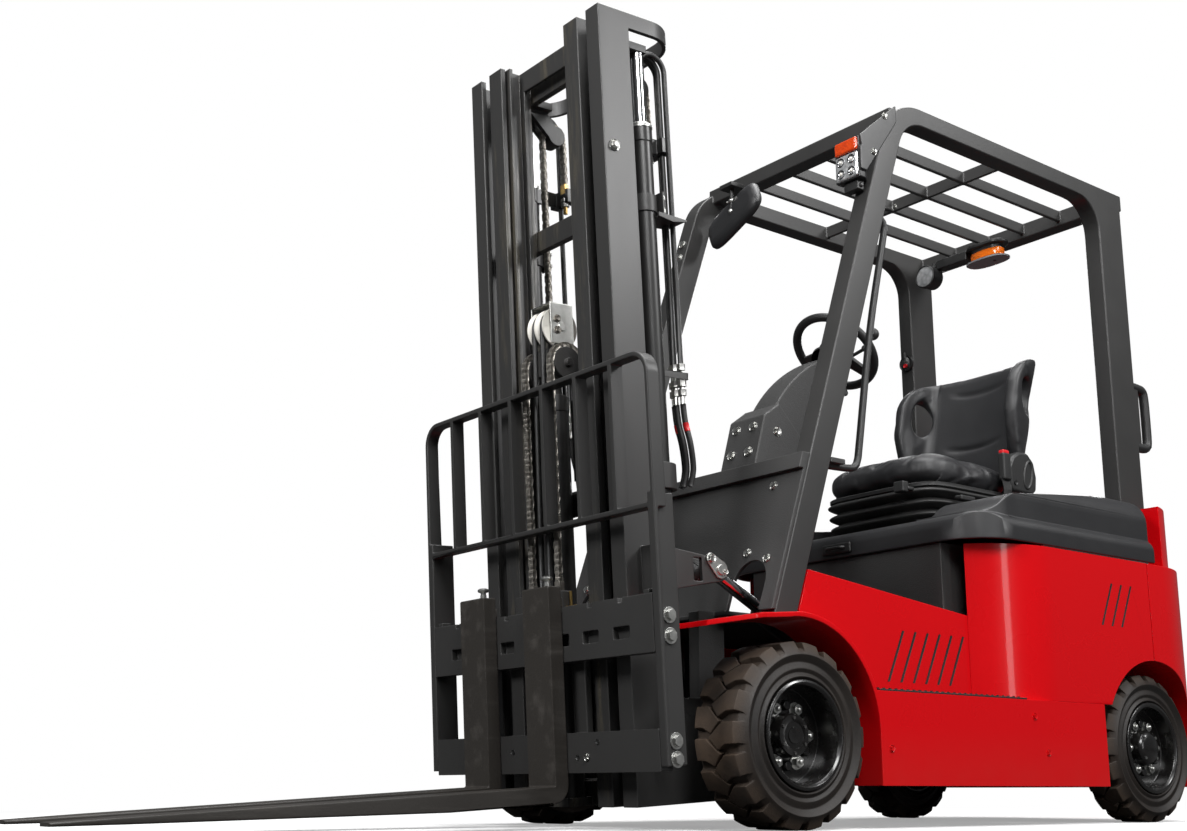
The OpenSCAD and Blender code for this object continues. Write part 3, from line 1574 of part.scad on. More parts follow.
module free_head() {
  color("Silver") in_mast() {
    rod_z(free_u, 0, free_rod_r, rail_foot + 2 * cross_h + over, head_w);
    // Crosshead with its chain wheels
    block(free_u - free_r, free_u + free_r / 2, -front_chain_y + chain_w / 2 + run_gap,
        front_chain_y - chain_w / 2 - run_gap,
      head_w - free_r / 2, hose_w - hose_wheel_r / 2);
    rod_y(free_u, head_w, free_rod_r / 2, -front_chain_y - chain_w, front_chain_y + chain_w);
    both() rod_y(free_u, head_w, head_wheel_r - chain_t / 2, front_chain_y - chain_w / 2,
        front_chain_y + chain_w / 2);
    rod_y(free_u, hose_w, hose_wheel_r, -hose_wheel_t / 2, hose_wheel_t / 2);
  }
}

// Chains and hoses

module lift_runs_fixed() {
  color("Gray") in_mast() both()
    block(chain_u - chain_wheel_r - chain_t / 2, chain_u - chain_wheel_r + chain_t / 2,
        chain_y - chain_w / 2, chain_y + chain_w / 2,
      anchor_w - rail_t, chain_wheel_w);
}

module lift_runs_moving() {
  color("Gray") in_mast() both() {
    block(chain_u + chain_wheel_r - chain_t / 2, chain_u + chain_wheel_r + chain_t / 2,
        chain_y - chain_w / 2, chain_y + chain_w / 2,
      rail_foot + 4 * cross_t, chain_wheel_w);
    side(chain_y - chain_w / 2, chain_y + chain_w / 2) wrap(chain_u, chain_wheel_w, chain_wheel_r);
  }
}

// Half ring of chain over a wheel
module wrap(u, w, r) {
  translate([u, w]) difference() {
    circle(r = r + chain_t / 2);
    circle(r = r - chain_t / 2);
    translate([-2 * r, -2 * r]) square([4 * r, 2 * r]);
  }
}

module free_runs_fixed() {
  color("Gray") in_mast() both()
    block(free_u - head_wheel_r - chain_t / 2, free_u - head_wheel_r + chain_t / 2,
      front_chain_y - chain_w / 2, front_chain_y + chain_w / 2, free_anchor_w, head_w);
}

module free_runs_moving() {
  color("Gray") in_mast() both() {
    block(free_u + head_wheel_r - chain_t / 2, free_u + head_wheel_r + chain_t / 2,
      front_chain_y - chain_w / 2, front_chain_y + chain_w / 2, carriage_anchor_w, head_w);
    side(front_chain_y - chain_w / 2, front_chain_y + chain_w / 2) wrap(free_u, head_w, head_wheel_r);
    rod_z(free_u + hose_wheel_r + hose_r, hose_wheel_t / 4, hose_r, carriage_anchor_w, hose_w);
  }
}

// Carriage

module carriage() {
  color("DimGray") in_mast() {
    difference() {
      block(bar_u, fork_u, -carriage_y, carriage_y, upper_top - upper_h, upper_top);
      both() for (i = [1 : notches]) translate([0, i * carriage_y / (notches + 1), 0])
        block(bar_u - over, fork_u + over, -notch_w / 2, notch_w / 2, upper_top - notch_d,
            upper_top + over);
      both() for (i = [1 : notches]) translate([0, i * carriage_y / (notches + 1), 0])
        block(fork_u - bar_t / 2, fork_u + over, -window_w / 2, window_w / 2,
          upper_top - upper_h / 2 - window_h, upper_top - upper_h / 2);
    }
    block(bar_u, fork_u, -carriage_y, carriage_y, lower_foot, lower_foot + lower_h);
    both() {
      block(inner_rail_u + inner_rail_t + run_gap, bar_u, plate_y - plate_t, plate_y, lower_foot,
          upper_top);
      block(bar_u - bar_t / 2, bar_u, plate_y - plate_t, plate_y + 2 * plate_t,
        lower_foot + lower_h - over, upper_top - upper_h + over);
      for (w = [lower_foot + 3 * carriage_roller_r, upper_top - 3 * carriage_roller_r])
        rod_y(inner_rail_u + inner_rail_d / 2, w, carriage_roller_r, plate_y - plate_t,
            inner_rail_y - inner_rail_w + inner_rail_t);
    }
    // Bridge that takes the front chains and hoses
    block(free_u + head_wheel_r - chain_t / 2, bar_u + bar_t / 2, -bridge_y, bridge_y,
        carriage_anchor_w - 2 * cross_t, carriage_anchor_w);
    block(bar_u, bar_u + bar_t / 2, -bridge_y, bridge_y, upper_top - over, carriage_anchor_w - cross_t);
  }
}

module backrest() {
  color("DimGray") in_mast() {
    both() {
      // Side plates bolted to the ends of the carriage
      block(fork_u - rest_plate_d, fork_u, carriage_y + seat_gap, carriage_y + seat_gap + rest_t,
          rest_plate_foot, backrest_low + rest_d);
      block(fork_u - rest_t, fork_u, carriage_y + seat_gap, backrest_y, rest_plate_foot,
          backrest_low + rest_d);
    }
    translate([fork_u - rest_d, 0, 0]) rotate([quarter, 0, quarter]) linear_extrude(height = rest_d)
        difference() {
      rest_plan(0);
      rest_plan(rest_t);
    }
    block(fork_u - rest_d, fork_u, -backrest_y, backrest_y, backrest_low, backrest_low + rest_t);
    for (i = [1 : rest_bars]) translate([0, -backrest_y + i * 2 * backrest_y / (rest_bars + 1), 0])
      block(fork_u - rest_d, fork_u, -rest_t / 2, rest_t / 2, backrest_low, backrest_top - rest_t / 2);
  }
}

module rest_plan(t) {
  y = backrest_y - t;
  r = rest_r - t;
  z1 = backrest_top - t;
  translate([-y, backrest_low + t]) square([2 * y, z1 - r - backrest_low - t]);
  translate([-y + r, z1 - r]) square([2 * (y - r), r]);
  for (s = [-1, 1]) translate([s * (y - r), z1 - r]) circle(r = r);
}

module fork() {
  side(-fork_w / 2, fork_w / 2) {
    difference() {
      union() {
        translate([fork_u + seat_gap, fork_top - fork_t + heel_r]) square([fork_t - seat_gap,
            shank_h + fork_t - heel_r]);
        polygon([
          [fork_u + heel_r, fork_top],
          [fork_u + heel_r, fork_top - fork_t],
          [fork_u + fork_t + fork_l / 4, fork_top - fork_t],
          [fork_u + fork_t + fork_l, fork_top - fork_tip_t],
          [fork_u + fork_t + fork_l, fork_top]]);
        translate([fork_u + heel_r, fork_top - fork_t + heel_r]) circle(r = heel_r - seat_gap);
      }
      translate([fork_u + fork_t, fork_top]) square([2 * heel_r, 2 * heel_r]);
    }
  }
  // Hooks over the carriage bars
  block(fork_u - hook_d, fork_u + fork_t / 2, -hook_w / 2, hook_w / 2, upper_top + seat_gap,
      upper_top + seat_gap + hook_t);
}

module forks() {
  color("DimGray") in_mast() for (y = [fork_left_y, fork_right_y]) translate([0, y, 0]) difference() {
    fork();
    both() translate([fork_u + fork_t + fork_l * blade_taper_share, fork_w / 2, fork_top - fork_t])
      rotate(-atan(fork_w * (1 - tip_width_share) / 2 / (fork_l * (1 - blade_taper_share))))
      cube([fork_l, fork_w, 2 * fork_t]);
  }
}

// Tilt cylinders

module in_tilt() {
  translate([origin_shift + tilt_x, 0, tilt_z]) rotate([0, -tilt_angle, 0]) children();
}

module tilt_barrels() {
  color("DimGray") in_tilt() both() translate([0, tilt_y, 0]) {
    difference() {
      translate([2 * tilt_eye_r, 0, 0]) rotate([0, quarter, 0]) cylinder(r = tilt_r,
          h = tilt_barrel_l - tilt_eye_r);
      translate([2 * tilt_eye_r + over / 2, 0, 0]) rotate([0, quarter, 0])
        cylinder(r = tilt_rod_r + pin_gap, h = tilt_barrel_l + over);
    }
    difference() {
      union() {
        rod_y(0, 0, tilt_eye_r, -tilt_eye_w / 2, tilt_eye_w / 2);
        block(0, 2 * tilt_eye_r + over / 2, -tilt_eye_w / 2, tilt_eye_w / 2, -tilt_eye_r / 2,
            tilt_eye_r / 2);
      }
      rod_y(0, 0, tilt_pin_r + pin_gap, -tilt_eye_w, tilt_eye_w);
    }
  }
}

module tilt_rods() {
  color("Silver") in_tilt() both() translate([0, tilt_y, 0]) difference() {
    union() {
      translate([tilt_barrel_l / 2, 0, 0]) rotate([0, quarter, 0])
        cylinder(r = tilt_rod_r, h = tilt_len - tilt_barrel_l / 2);
      rod_y(tilt_len, 0, tilt_eye_r, -tilt_eye_w / 2, tilt_eye_w / 2);
    }
    rod_y(tilt_len, 0, tilt_pin_r + eye_play, -tilt_eye_w, tilt_eye_w);
  }
}

side_frames();
rear_panels();
counterweight();
cowl();
hood();
battery();
overhead_guard();
seat_base();
seat_cushion();
seat_back();
steering_column();
steering_wheel();
lamps();
rear_mirror();
grab_handles();
drive_axle();
steer_axle();
knuckle_left();
knuckle_right();
front_tyre_left();
front_tyre_right();
front_rim_left();
front_rim_right();
rear_tyre_left();
rear_tyre_right();
rear_rim_left();
rear_rim_right();
mast_outer();
lift_barrels();
mast_middle();
lift_rods();
mast_inner();
free_barrel();
free_head();
lift_runs_fixed();
lift_runs_moving();
free_runs_fixed();
free_runs_moving();
carriage();
backrest();
forks();
tilt_barrels();
tilt_rods();
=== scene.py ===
"""Looks of a four-wheel electric counterbalance truck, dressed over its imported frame."""
import math

import bmesh
import bpy
from bpy.props import FloatProperty, FloatVectorProperty, IntProperty, PointerProperty
from mathutils import Matrix, Vector
from mathutils.bvhtree import BVHTree


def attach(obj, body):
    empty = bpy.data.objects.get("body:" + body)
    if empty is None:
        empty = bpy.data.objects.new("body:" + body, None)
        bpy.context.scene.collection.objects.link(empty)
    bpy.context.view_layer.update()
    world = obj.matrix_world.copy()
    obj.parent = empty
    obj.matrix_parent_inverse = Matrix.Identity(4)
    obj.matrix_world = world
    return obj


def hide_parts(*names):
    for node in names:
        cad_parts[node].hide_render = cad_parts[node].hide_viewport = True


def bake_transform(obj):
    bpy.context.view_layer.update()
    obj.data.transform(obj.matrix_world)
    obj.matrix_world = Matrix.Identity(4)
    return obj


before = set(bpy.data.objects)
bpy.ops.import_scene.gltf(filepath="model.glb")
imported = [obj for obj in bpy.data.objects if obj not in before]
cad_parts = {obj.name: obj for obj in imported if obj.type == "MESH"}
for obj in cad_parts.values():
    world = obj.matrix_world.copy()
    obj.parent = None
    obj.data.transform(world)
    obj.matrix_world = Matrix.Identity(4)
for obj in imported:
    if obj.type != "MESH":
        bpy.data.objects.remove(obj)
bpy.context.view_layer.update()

bl_info = {
    "name": "Counterbalance truck looks",
    "version": (1, 0, 0),
    "blender": (4, 5, 0),
    "location": "View3D > Sidebar > Truck",
    "description": "Dresses the packed frame of a lift truck with its finishes and small pieces",
    "category": "Object",
}

SIDES = (1, -1)
LOOKS = {}
TREES = {}

# Places in metres: x, y and z on the truck, u, y and w on its leaning mast

SHIFT = 0.16573
LEAN = math.radians(3.3)
FRONT_R = 0.228
REAR_R = 0.225
BASE = 1.567
MAST = Matrix.Translation((SHIFT, 0, FRONT_R)) @ Matrix.Rotation(LEAN, 4, "Y")
TRUCK = Matrix.Translation((SHIFT, 0, 0))
POST_Y = 0.415
SEAT_X = -1.158
BACK_FLAT = 0.45
LIFT_U = 0.166
LIFT_Y = 0.26
PULLEY_U = 0.297
PULLEY_W = 1.118
GROOVES = (-0.018, 0.018)
GROOVE_R = 0.0385
HOSES = ((0.226, 0.066), (0.243, 0.074), (0.26, 0.066), (-0.23, 0.07))

# Directions in which the noise of a finish is drawn out

UPRIGHT = (1.0, 1.0, 0.12)
ALONG = (0.12, 1.0, 1.0)


def length(name, default, description):
    return FloatProperty(name=name, default=default, unit="LENGTH", description=description)


def tint(name, default, description):
    return FloatVectorProperty(name=name, default=default, subtype="COLOR", description=description)


class TruckSizes(bpy.types.PropertyGroup):
    """Sizes of the small pieces that dress the frame."""
    edge: length("Edge rounding", 0.0025, "Rounding of sheet and casting edges")
    chain_pitch: length("Chain pitch", 0.0159, "Pitch of the leaf chains")
    hose: length("Hose radius", 0.0075, "Outer radius of the mast hoses")
    bolt: length("Bolt head", 0.009, "Radius of a common bolt head")
    folds: IntProperty(name="Bellows folds", default=4, min=1, description="Folds of the seat bellows")


class TruckColours(bpy.types.PropertyGroup):
    """Colours of the truck's finishes."""
    red: tint("Body red", (0.53, 0.0015, 0.004), "Gloss paint of the frame and counterweight")
    charcoal: tint("Charcoal", (0.024, 0.0235, 0.023), "Paint of mast, guard and carriage")
    plastic: tint("Black plastic", (0.013, 0.013, 0.014), "Hood and mirror shell")
    vinyl: tint("Seat vinyl", (0.012, 0.012, 0.013), "Seat covers")
    rubber: tint("Rubber", (0.0085, 0.007, 0.0062), "Tyres")
    dust: tint("Dust", (0.085, 0.054, 0.033), "Dry dust on the tyres")
    amber: tint("Amber", (0.95, 0.2, 0.005), "Band of the beacon")


def sizes():
    return bpy.context.scene.truck_sizes


def colours():
    return bpy.context.scene.truck_colours


# Shader expressions

class Sock:
    """One shader value; arithmetic on it adds Math nodes."""

    def __init__(self, look, out):
        self.look, self.out = look, out

    def _op(self, kind, a, b):
        return self.look.node("ShaderNodeMath", {"operation": kind}, {0: a, 1: b})

    def __add__(self, o):
        return self._op("ADD", self, o)

    def __radd__(self, o):
        return self._op("ADD", o, self)

    def __sub__(self, o):
        return self._op("SUBTRACT", self, o)

    def __mul__(self, o):
        return self._op("MULTIPLY", self, o)

    def __pow__(self, o):
        return self._op("POWER", self, o)

    def cap(self):
        return self.look.node("ShaderNodeClamp", {}, {"Value": self})


class Nodes:
    """A node tree under construction, for a material or a world."""

    def __init__(self, owner, end):
        owner.use_nodes = True
        self.tree = owner.node_tree
        self.tree.nodes.clear()
        self.end = self.tree.nodes.new(end)

    def node(self, kind, settings=None, sockets=None, out=0):
        """Adds a node with its settings, values and links, and gives one of its outputs."""
        n = self.tree.nodes.new(kind)
        for key, value in (settings or {}).items():
            setattr(n, key, value)
        for key, value in (sockets or {}).items():
            if isinstance(value, Sock):
                self.tree.links.new(value.out, n.inputs[key])
            else:
                n.inputs[key].default_value = value
        return Sock(self, n.outputs[out])

    def close(self, shader):
        self.tree.links.new(shader.out, self.end.inputs["Surface"])


class Look(Nodes):
    """A material under construction."""

    def __init__(self, name):
        self.mat = bpy.data.materials.new(name)
        super().__init__(self.mat, "ShaderNodeOutputMaterial")
        self.coords = self.node("ShaderNodeTexCoord", out="Object")
        LOOKS[name] = self.mat

    def noise(self, scale, detail=3.0, rough=0.5, stretch=None):
        at = self.coords
        if stretch:
            at = self.node("ShaderNodeVectorMath", {"operation": "MULTIPLY"}, {0: at, 1: stretch})
        values = {"Vector": at, "Scale": scale, "Detail": detail, "Roughness": rough}
        return self.node("ShaderNodeTexNoise", {}, values)

    def cells(self, scale):
        return self.node("ShaderNodeTexVoronoi", {}, {"Vector": self.coords, "Scale": scale})

    def ramp(self, value, *stops):
        """Grey levels at two (place, level) stops."""
        made = self.node("ShaderNodeValToRGB", {}, {"Fac": value})
        for e, (at, level) in zip(made.out.node.color_ramp.elements, stops):
            e.position = at
            e.color = (level, level, level, 1)
        return made

    def axis(self, which):
        return self.node("ShaderNodeSeparateXYZ", {}, {0: self.coords}, out=which)

    def blend(self, factor, a, b):
        return self.node("ShaderNodeMix", {"data_type": "RGBA"}, {0: factor, 6: (*a, 1), 7: (*b, 1)}, out=2)

    def bump(self, height, depth):
        return self.node("ShaderNodeBump", {}, {"Height": height, "Distance": depth})

    def surface(self, colour, **sockets):
        values = {"Base Color": colour}
        values.update({k.replace("_", " "): v for k, v in sockets.items()})
        self.close(self.node("ShaderNodeBsdfPrincipled", {}, values))


def lighter(colour, by):
    return tuple(v * by for v in colour)


# Plain looks: two colours, (scale, detail, share) of their mix, (scale, swing, least) of the roughness,
# (scale, detail, depth) of a grain or nothing, and further values

PLAIN = (
    ("barrel_black", (0.007, 0.007, 0.007), (0.016, 0.015, 0.014), (9.0, 4.0, 0.5), (22.0, 0.14, 0.3),
     (420.0, 2.0, 0.0001), {}),
    ("rim_black", (0.003, 0.003, 0.003), (0.012, 0.01, 0.009), (14.0, 4.0, 0.5), (30.0, 0.2, 0.18),
     (300.0, 1.0, 0.00005), {"Coat_Weight": 0.3, "Coat_Roughness": 0.1}),
    ("grey_plastic", (0.2, 0.21, 0.22), (0.26, 0.27, 0.28), (30.0, 3.0, 0.5), (50.0, 0.1, 0.38), None, {}),
    ("white_nylon", (0.8, 0.78, 0.72), (0.55, 0.52, 0.46), (25.0, 5.0, 0.6), (60.0, 0.1, 0.4), None, {}),
    ("button_red", (0.6, 0.01, 0.015), (0.45, 0.008, 0.012), (60.0, 3.0, 0.4), (80.0, 0.1, 0.3), None, {}),
    ("bellows_rubber", (0.01, 0.01, 0.01), (0.022, 0.021, 0.02), (20.0, 3.0, 0.5), (30.0, 0.1, 0.48),
     (500.0, 3.0, 0.0003), {}),
    ("hose_rubber", (0.012, 0.012, 0.012), (0.03, 0.03, 0.03), (30.0, 3.0, 0.5), (40.0, 0.1, 0.4),
     (700.0, 3.0, 0.0002), {}),
    ("zinc", (0.62, 0.62, 0.6), (0.42, 0.42, 0.4), (70.0, 4.0, 1.0), (120.0, 0.2, 0.24), None,
     {"Metallic": 1.0}),
    ("brass_zinc", (0.6, 0.42, 0.16), (0.4, 0.26, 0.09), (80.0, 4.0, 1.0), (120.0, 0.2, 0.3), None,
     {"Metallic": 1.0}),
    ("lamp_body", (0.012, 0.012, 0.012), (0.02, 0.02, 0.02), (50.0, 3.0, 0.4), (60.0, 0.1, 0.38), None, {}),
    ("mirror_glass", (0.75, 0.77, 0.78), (0.6, 0.62, 0.63), (4.0, 3.0, 0.2), (30.0, 0.02, 0.03), None,
     {"Metallic": 1.0}),
)


def make_plain():
    for name, first, second, (scale, detail, share), (spread, swing, least), grain, more in PLAIN:
        k = Look(name)
        values = dict(more, Roughness=k.noise(spread) * swing + least)
        if grain:
            values["Normal"] = k.bump(k.noise(*grain[:2]), grain[2])
        k.surface(k.blend(k.noise(scale, detail) * share, first, second), **values)


def make_paints():
    c = colours()
    k = Look("red_paint")
    low = k.ramp(k.axis("Z"), (0.1, 1.0), (0.26, 0.0))
    film = k.noise(9.0, 4.0) * low * 0.16
    k.surface(k.blend(film.cap(), c.red, (0.2, 0.07, 0.05)),
              Roughness=k.noise(5.0) * 0.08 + 0.24 + film * 0.5, Normal=k.bump(k.noise(260.0, 1.0), 0.00004),
              Coat_Weight=0.3, Coat_Roughness=0.07, Specular_IOR_Level=0.12)
    k = Look("charcoal_paint")
    cloud = k.noise(6.0, 5.0)
    k.surface(k.blend(cloud * 0.5, c.charcoal, lighter(c.charcoal, 1.35)), Roughness=cloud * 0.16 + 0.34,
              Normal=k.bump(k.noise(520.0, 2.0), 0.00022), Specular_IOR_Level=0.45)
    k = Look("rail_paint")
    cloud = k.noise(5.0, 5.0, stretch=UPRIGHT)
    k.surface(k.blend(cloud * 0.6, c.charcoal, lighter(c.charcoal, 1.5)), Roughness=cloud * 0.22 + 0.3,
              Normal=k.bump(k.noise(520.0, 2.0), 0.0002), Specular_IOR_Level=0.5)
    k = Look("greased_paint")
    cloud = k.noise(5.0, 5.0, stretch=UPRIGHT)
    side = k.axis("Y")
    inside = ((side * side) ** 0.5 * -1.0 + 0.205) * 90.0
    streak = k.noise(26.0, 6.0, 0.7, stretch=(1.0, 1.0, 0.1))
    smear = k.ramp(streak, (0.5, 0.0), (0.66, 1.0)) * inside.cap()
    k.surface(k.blend(smear * 0.3, c.charcoal, (0.16, 0.14, 0.1)),
              Roughness=cloud * 0.16 + 0.36 - smear * 0.2,
              Normal=k.bump(k.noise(520.0, 2.0) + smear * 0.8, 0.0003), Specular_IOR_Level=0.5)
    k = Look("fork_paint")
    rub = k.ramp(k.noise(22.0, 6.0, 0.65, stretch=ALONG), (0.52, 0.0), (0.72, 1.0))
    k.surface(k.blend(rub * 0.25, (0.026, 0.023, 0.02), (0.11, 0.1, 0.09)), Roughness=0.42 + rub * 0.1,
              Normal=k.bump(k.noise(160.0, 4.0), 0.0004), Specular_IOR_Level=0.4)
    k = Look("axle_iron")
    grit = k.noise(90.0, 5.0, 0.6)
    k.surface(k.blend(k.noise(7.0, 4.0), (0.018, 0.018, 0.018), (0.035, 0.032, 0.03)),
              Roughness=grit * 0.2 + 0.5, Normal=k.bump(grit, 0.0008))


def make_plastics():
    c = colours()
    k = Look("hood_plastic")
    k.surface(k.blend(k.noise(4.0) * 0.5, c.plastic, lighter(c.plastic, 1.5)),
              Roughness=k.noise(16.0) * 0.12 + 0.34, Normal=k.bump(k.cells(900.0), 0.00016),
              Specular_IOR_Level=0.6)
    k = Look("cowl_texture")
    grain = k.noise(260.0, 3.0, 0.6)
    k.surface(k.blend(grain * 0.6, (0.02, 0.02, 0.02), (0.045, 0.044, 0.043)),
              Roughness=k.noise(8.0) * 0.12 + 0.5, Normal=k.bump(grain, 0.0009))
    k = Look("grip_plastic")
    k.surface(k.blend(k.noise(40.0) * 0.4, (0.012, 0.012, 0.012), (0.022, 0.022, 0.022)),
              Roughness=k.noise(60.0) * 0.1 + 0.42, Normal=k.bump(k.cells(1500.0), 0.0001))


def make_soft():
    c = colours()
    k = Look("seat_vinyl")
    grain = k.cells(420.0) + k.noise(1400.0, 2.0) * 0.4
    k.surface(k.blend(k.noise(7.0, 4.0) * 0.6, c.vinyl, lighter(c.vinyl, 1.8)),
              Roughness=k.noise(14.0) * 0.14 + 0.36, Normal=k.bump(grain, 0.00035), Specular_IOR_Level=0.5)
    k = Look("belt_web")
    values = {"Vector": k.coords, "Scale": 260.0, "Distortion": 0.2}
    wave = k.node("ShaderNodeTexWave", {"bands_direction": "DIAGONAL"}, values)
    k.surface(k.blend(wave * 0.6, (0.01, 0.01, 0.01), (0.03, 0.03, 0.03)), Roughness=0.7,
              Normal=k.bump(wave, 0.0004))
    for end, ax, radius in (("front", SHIFT, FRONT_R), ("rear", SHIFT - BASE, REAR_R)):
        k = Look(f"{end}_rubber")
        x, z = k.axis("X") - ax, k.axis("Z") - radius
        reach = (x * x + z * z) ** 0.5
        tread = ((reach - (radius - 0.034)) * 36.0).cap()
        dust = k.ramp(k.noise(8.0, 6.0, 0.6), (0.3, 0.0), (0.68, 1.0))
        speck = k.noise(170.0, 4.0, 0.7)
        film = dust * (tread * 0.46 + 0.1) + speck * tread * 0.16
        k.surface(k.blend(film.cap(), c.rubber, c.dust), Roughness=0.46 + tread * 0.18 + dust * 0.14,
                  Normal=k.bump(speck, 0.0007), Specular_IOR_Level=0.4)


def make_metals():
    k = Look("rod_chrome")
    k.surface(k.blend(k.noise(40.0, 3.0, stretch=(1, 1, 0.1)) * 0.4, (0.5, 0.5, 0.51), (0.36, 0.36, 0.37)),
              Metallic=1.0, Roughness=k.noise(60.0, 3.0) * 0.08 + 0.1)
    k = Look("chain_steel")
    oil = k.noise(60.0, 4.0, 0.6)
    k.surface(k.blend(oil, (0.1, 0.09, 0.08), (0.52, 0.49, 0.44)), Metallic=0.85,
              Roughness=oil * 0.22 + 0.3)


def make_lenses():
    k = Look("amber_lens")
    ribs = k.node("ShaderNodeTexWave", {"bands_direction": "Z"}, {"Vector": k.coords, "Scale": 60.0})
    k.surface(k.blend(ribs * 0.4, colours().amber, (0.85, 0.09, 0.002)), Roughness=0.12,
              Normal=k.bump(ribs, 0.0006), Coat_Weight=0.6)
    k = Look("orange_lens")
    k.surface(k.blend(k.cells(70.0) * 0.5, (0.6, 0.055, 0.004), (0.34, 0.016, 0.002)), Roughness=0.14,
              Normal=k.bump(k.cells(140.0), 0.0008), Coat_Weight=0.6)
    k = Look("clear_lens")
    facets = k.cells(60.0)
    k.surface(k.blend(facets, (0.75, 0.76, 0.76), (0.34, 0.35, 0.36)), Roughness=0.1, Metallic=0.55,
              Normal=k.bump(facets, 0.002), Coat_Weight=0.8)


# Mesh helpers

def dress(node, look, edge=None, segments=2, angle=32.0):
    """Gives a CAD node its finish and rounds its sharp edges."""
    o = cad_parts[node]
    o.data.materials.clear()
    o.data.materials.append(LOOKS[look])
    round_edges(o, sizes().edge if edge is None else edge, segments, angle)


def round_edges(o, edge, segments=2, angle=32.0):
    if "custom_normal" in o.data.attributes:
        o.data.attributes.remove(o.data.attributes["custom_normal"])
    o.data.polygons.foreach_set("use_smooth", [True] * len(o.data.polygons))
    o.modifiers.new("weld", "WELD").merge_threshold = 0.00002
    if edge > 0:
        b = o.modifiers.new("edges", "BEVEL")
        b.width, b.segments = edge, segments
        b.limit_method, b.angle_limit = "ANGLE", math.radians(angle)
        b.use_clamp_overlap = False
        b.harden_normals = False
        b.miter_outer = "MITER_ARC"
    o.modifiers.new("shade", "WEIGHTED_NORMAL").keep_sharp = True


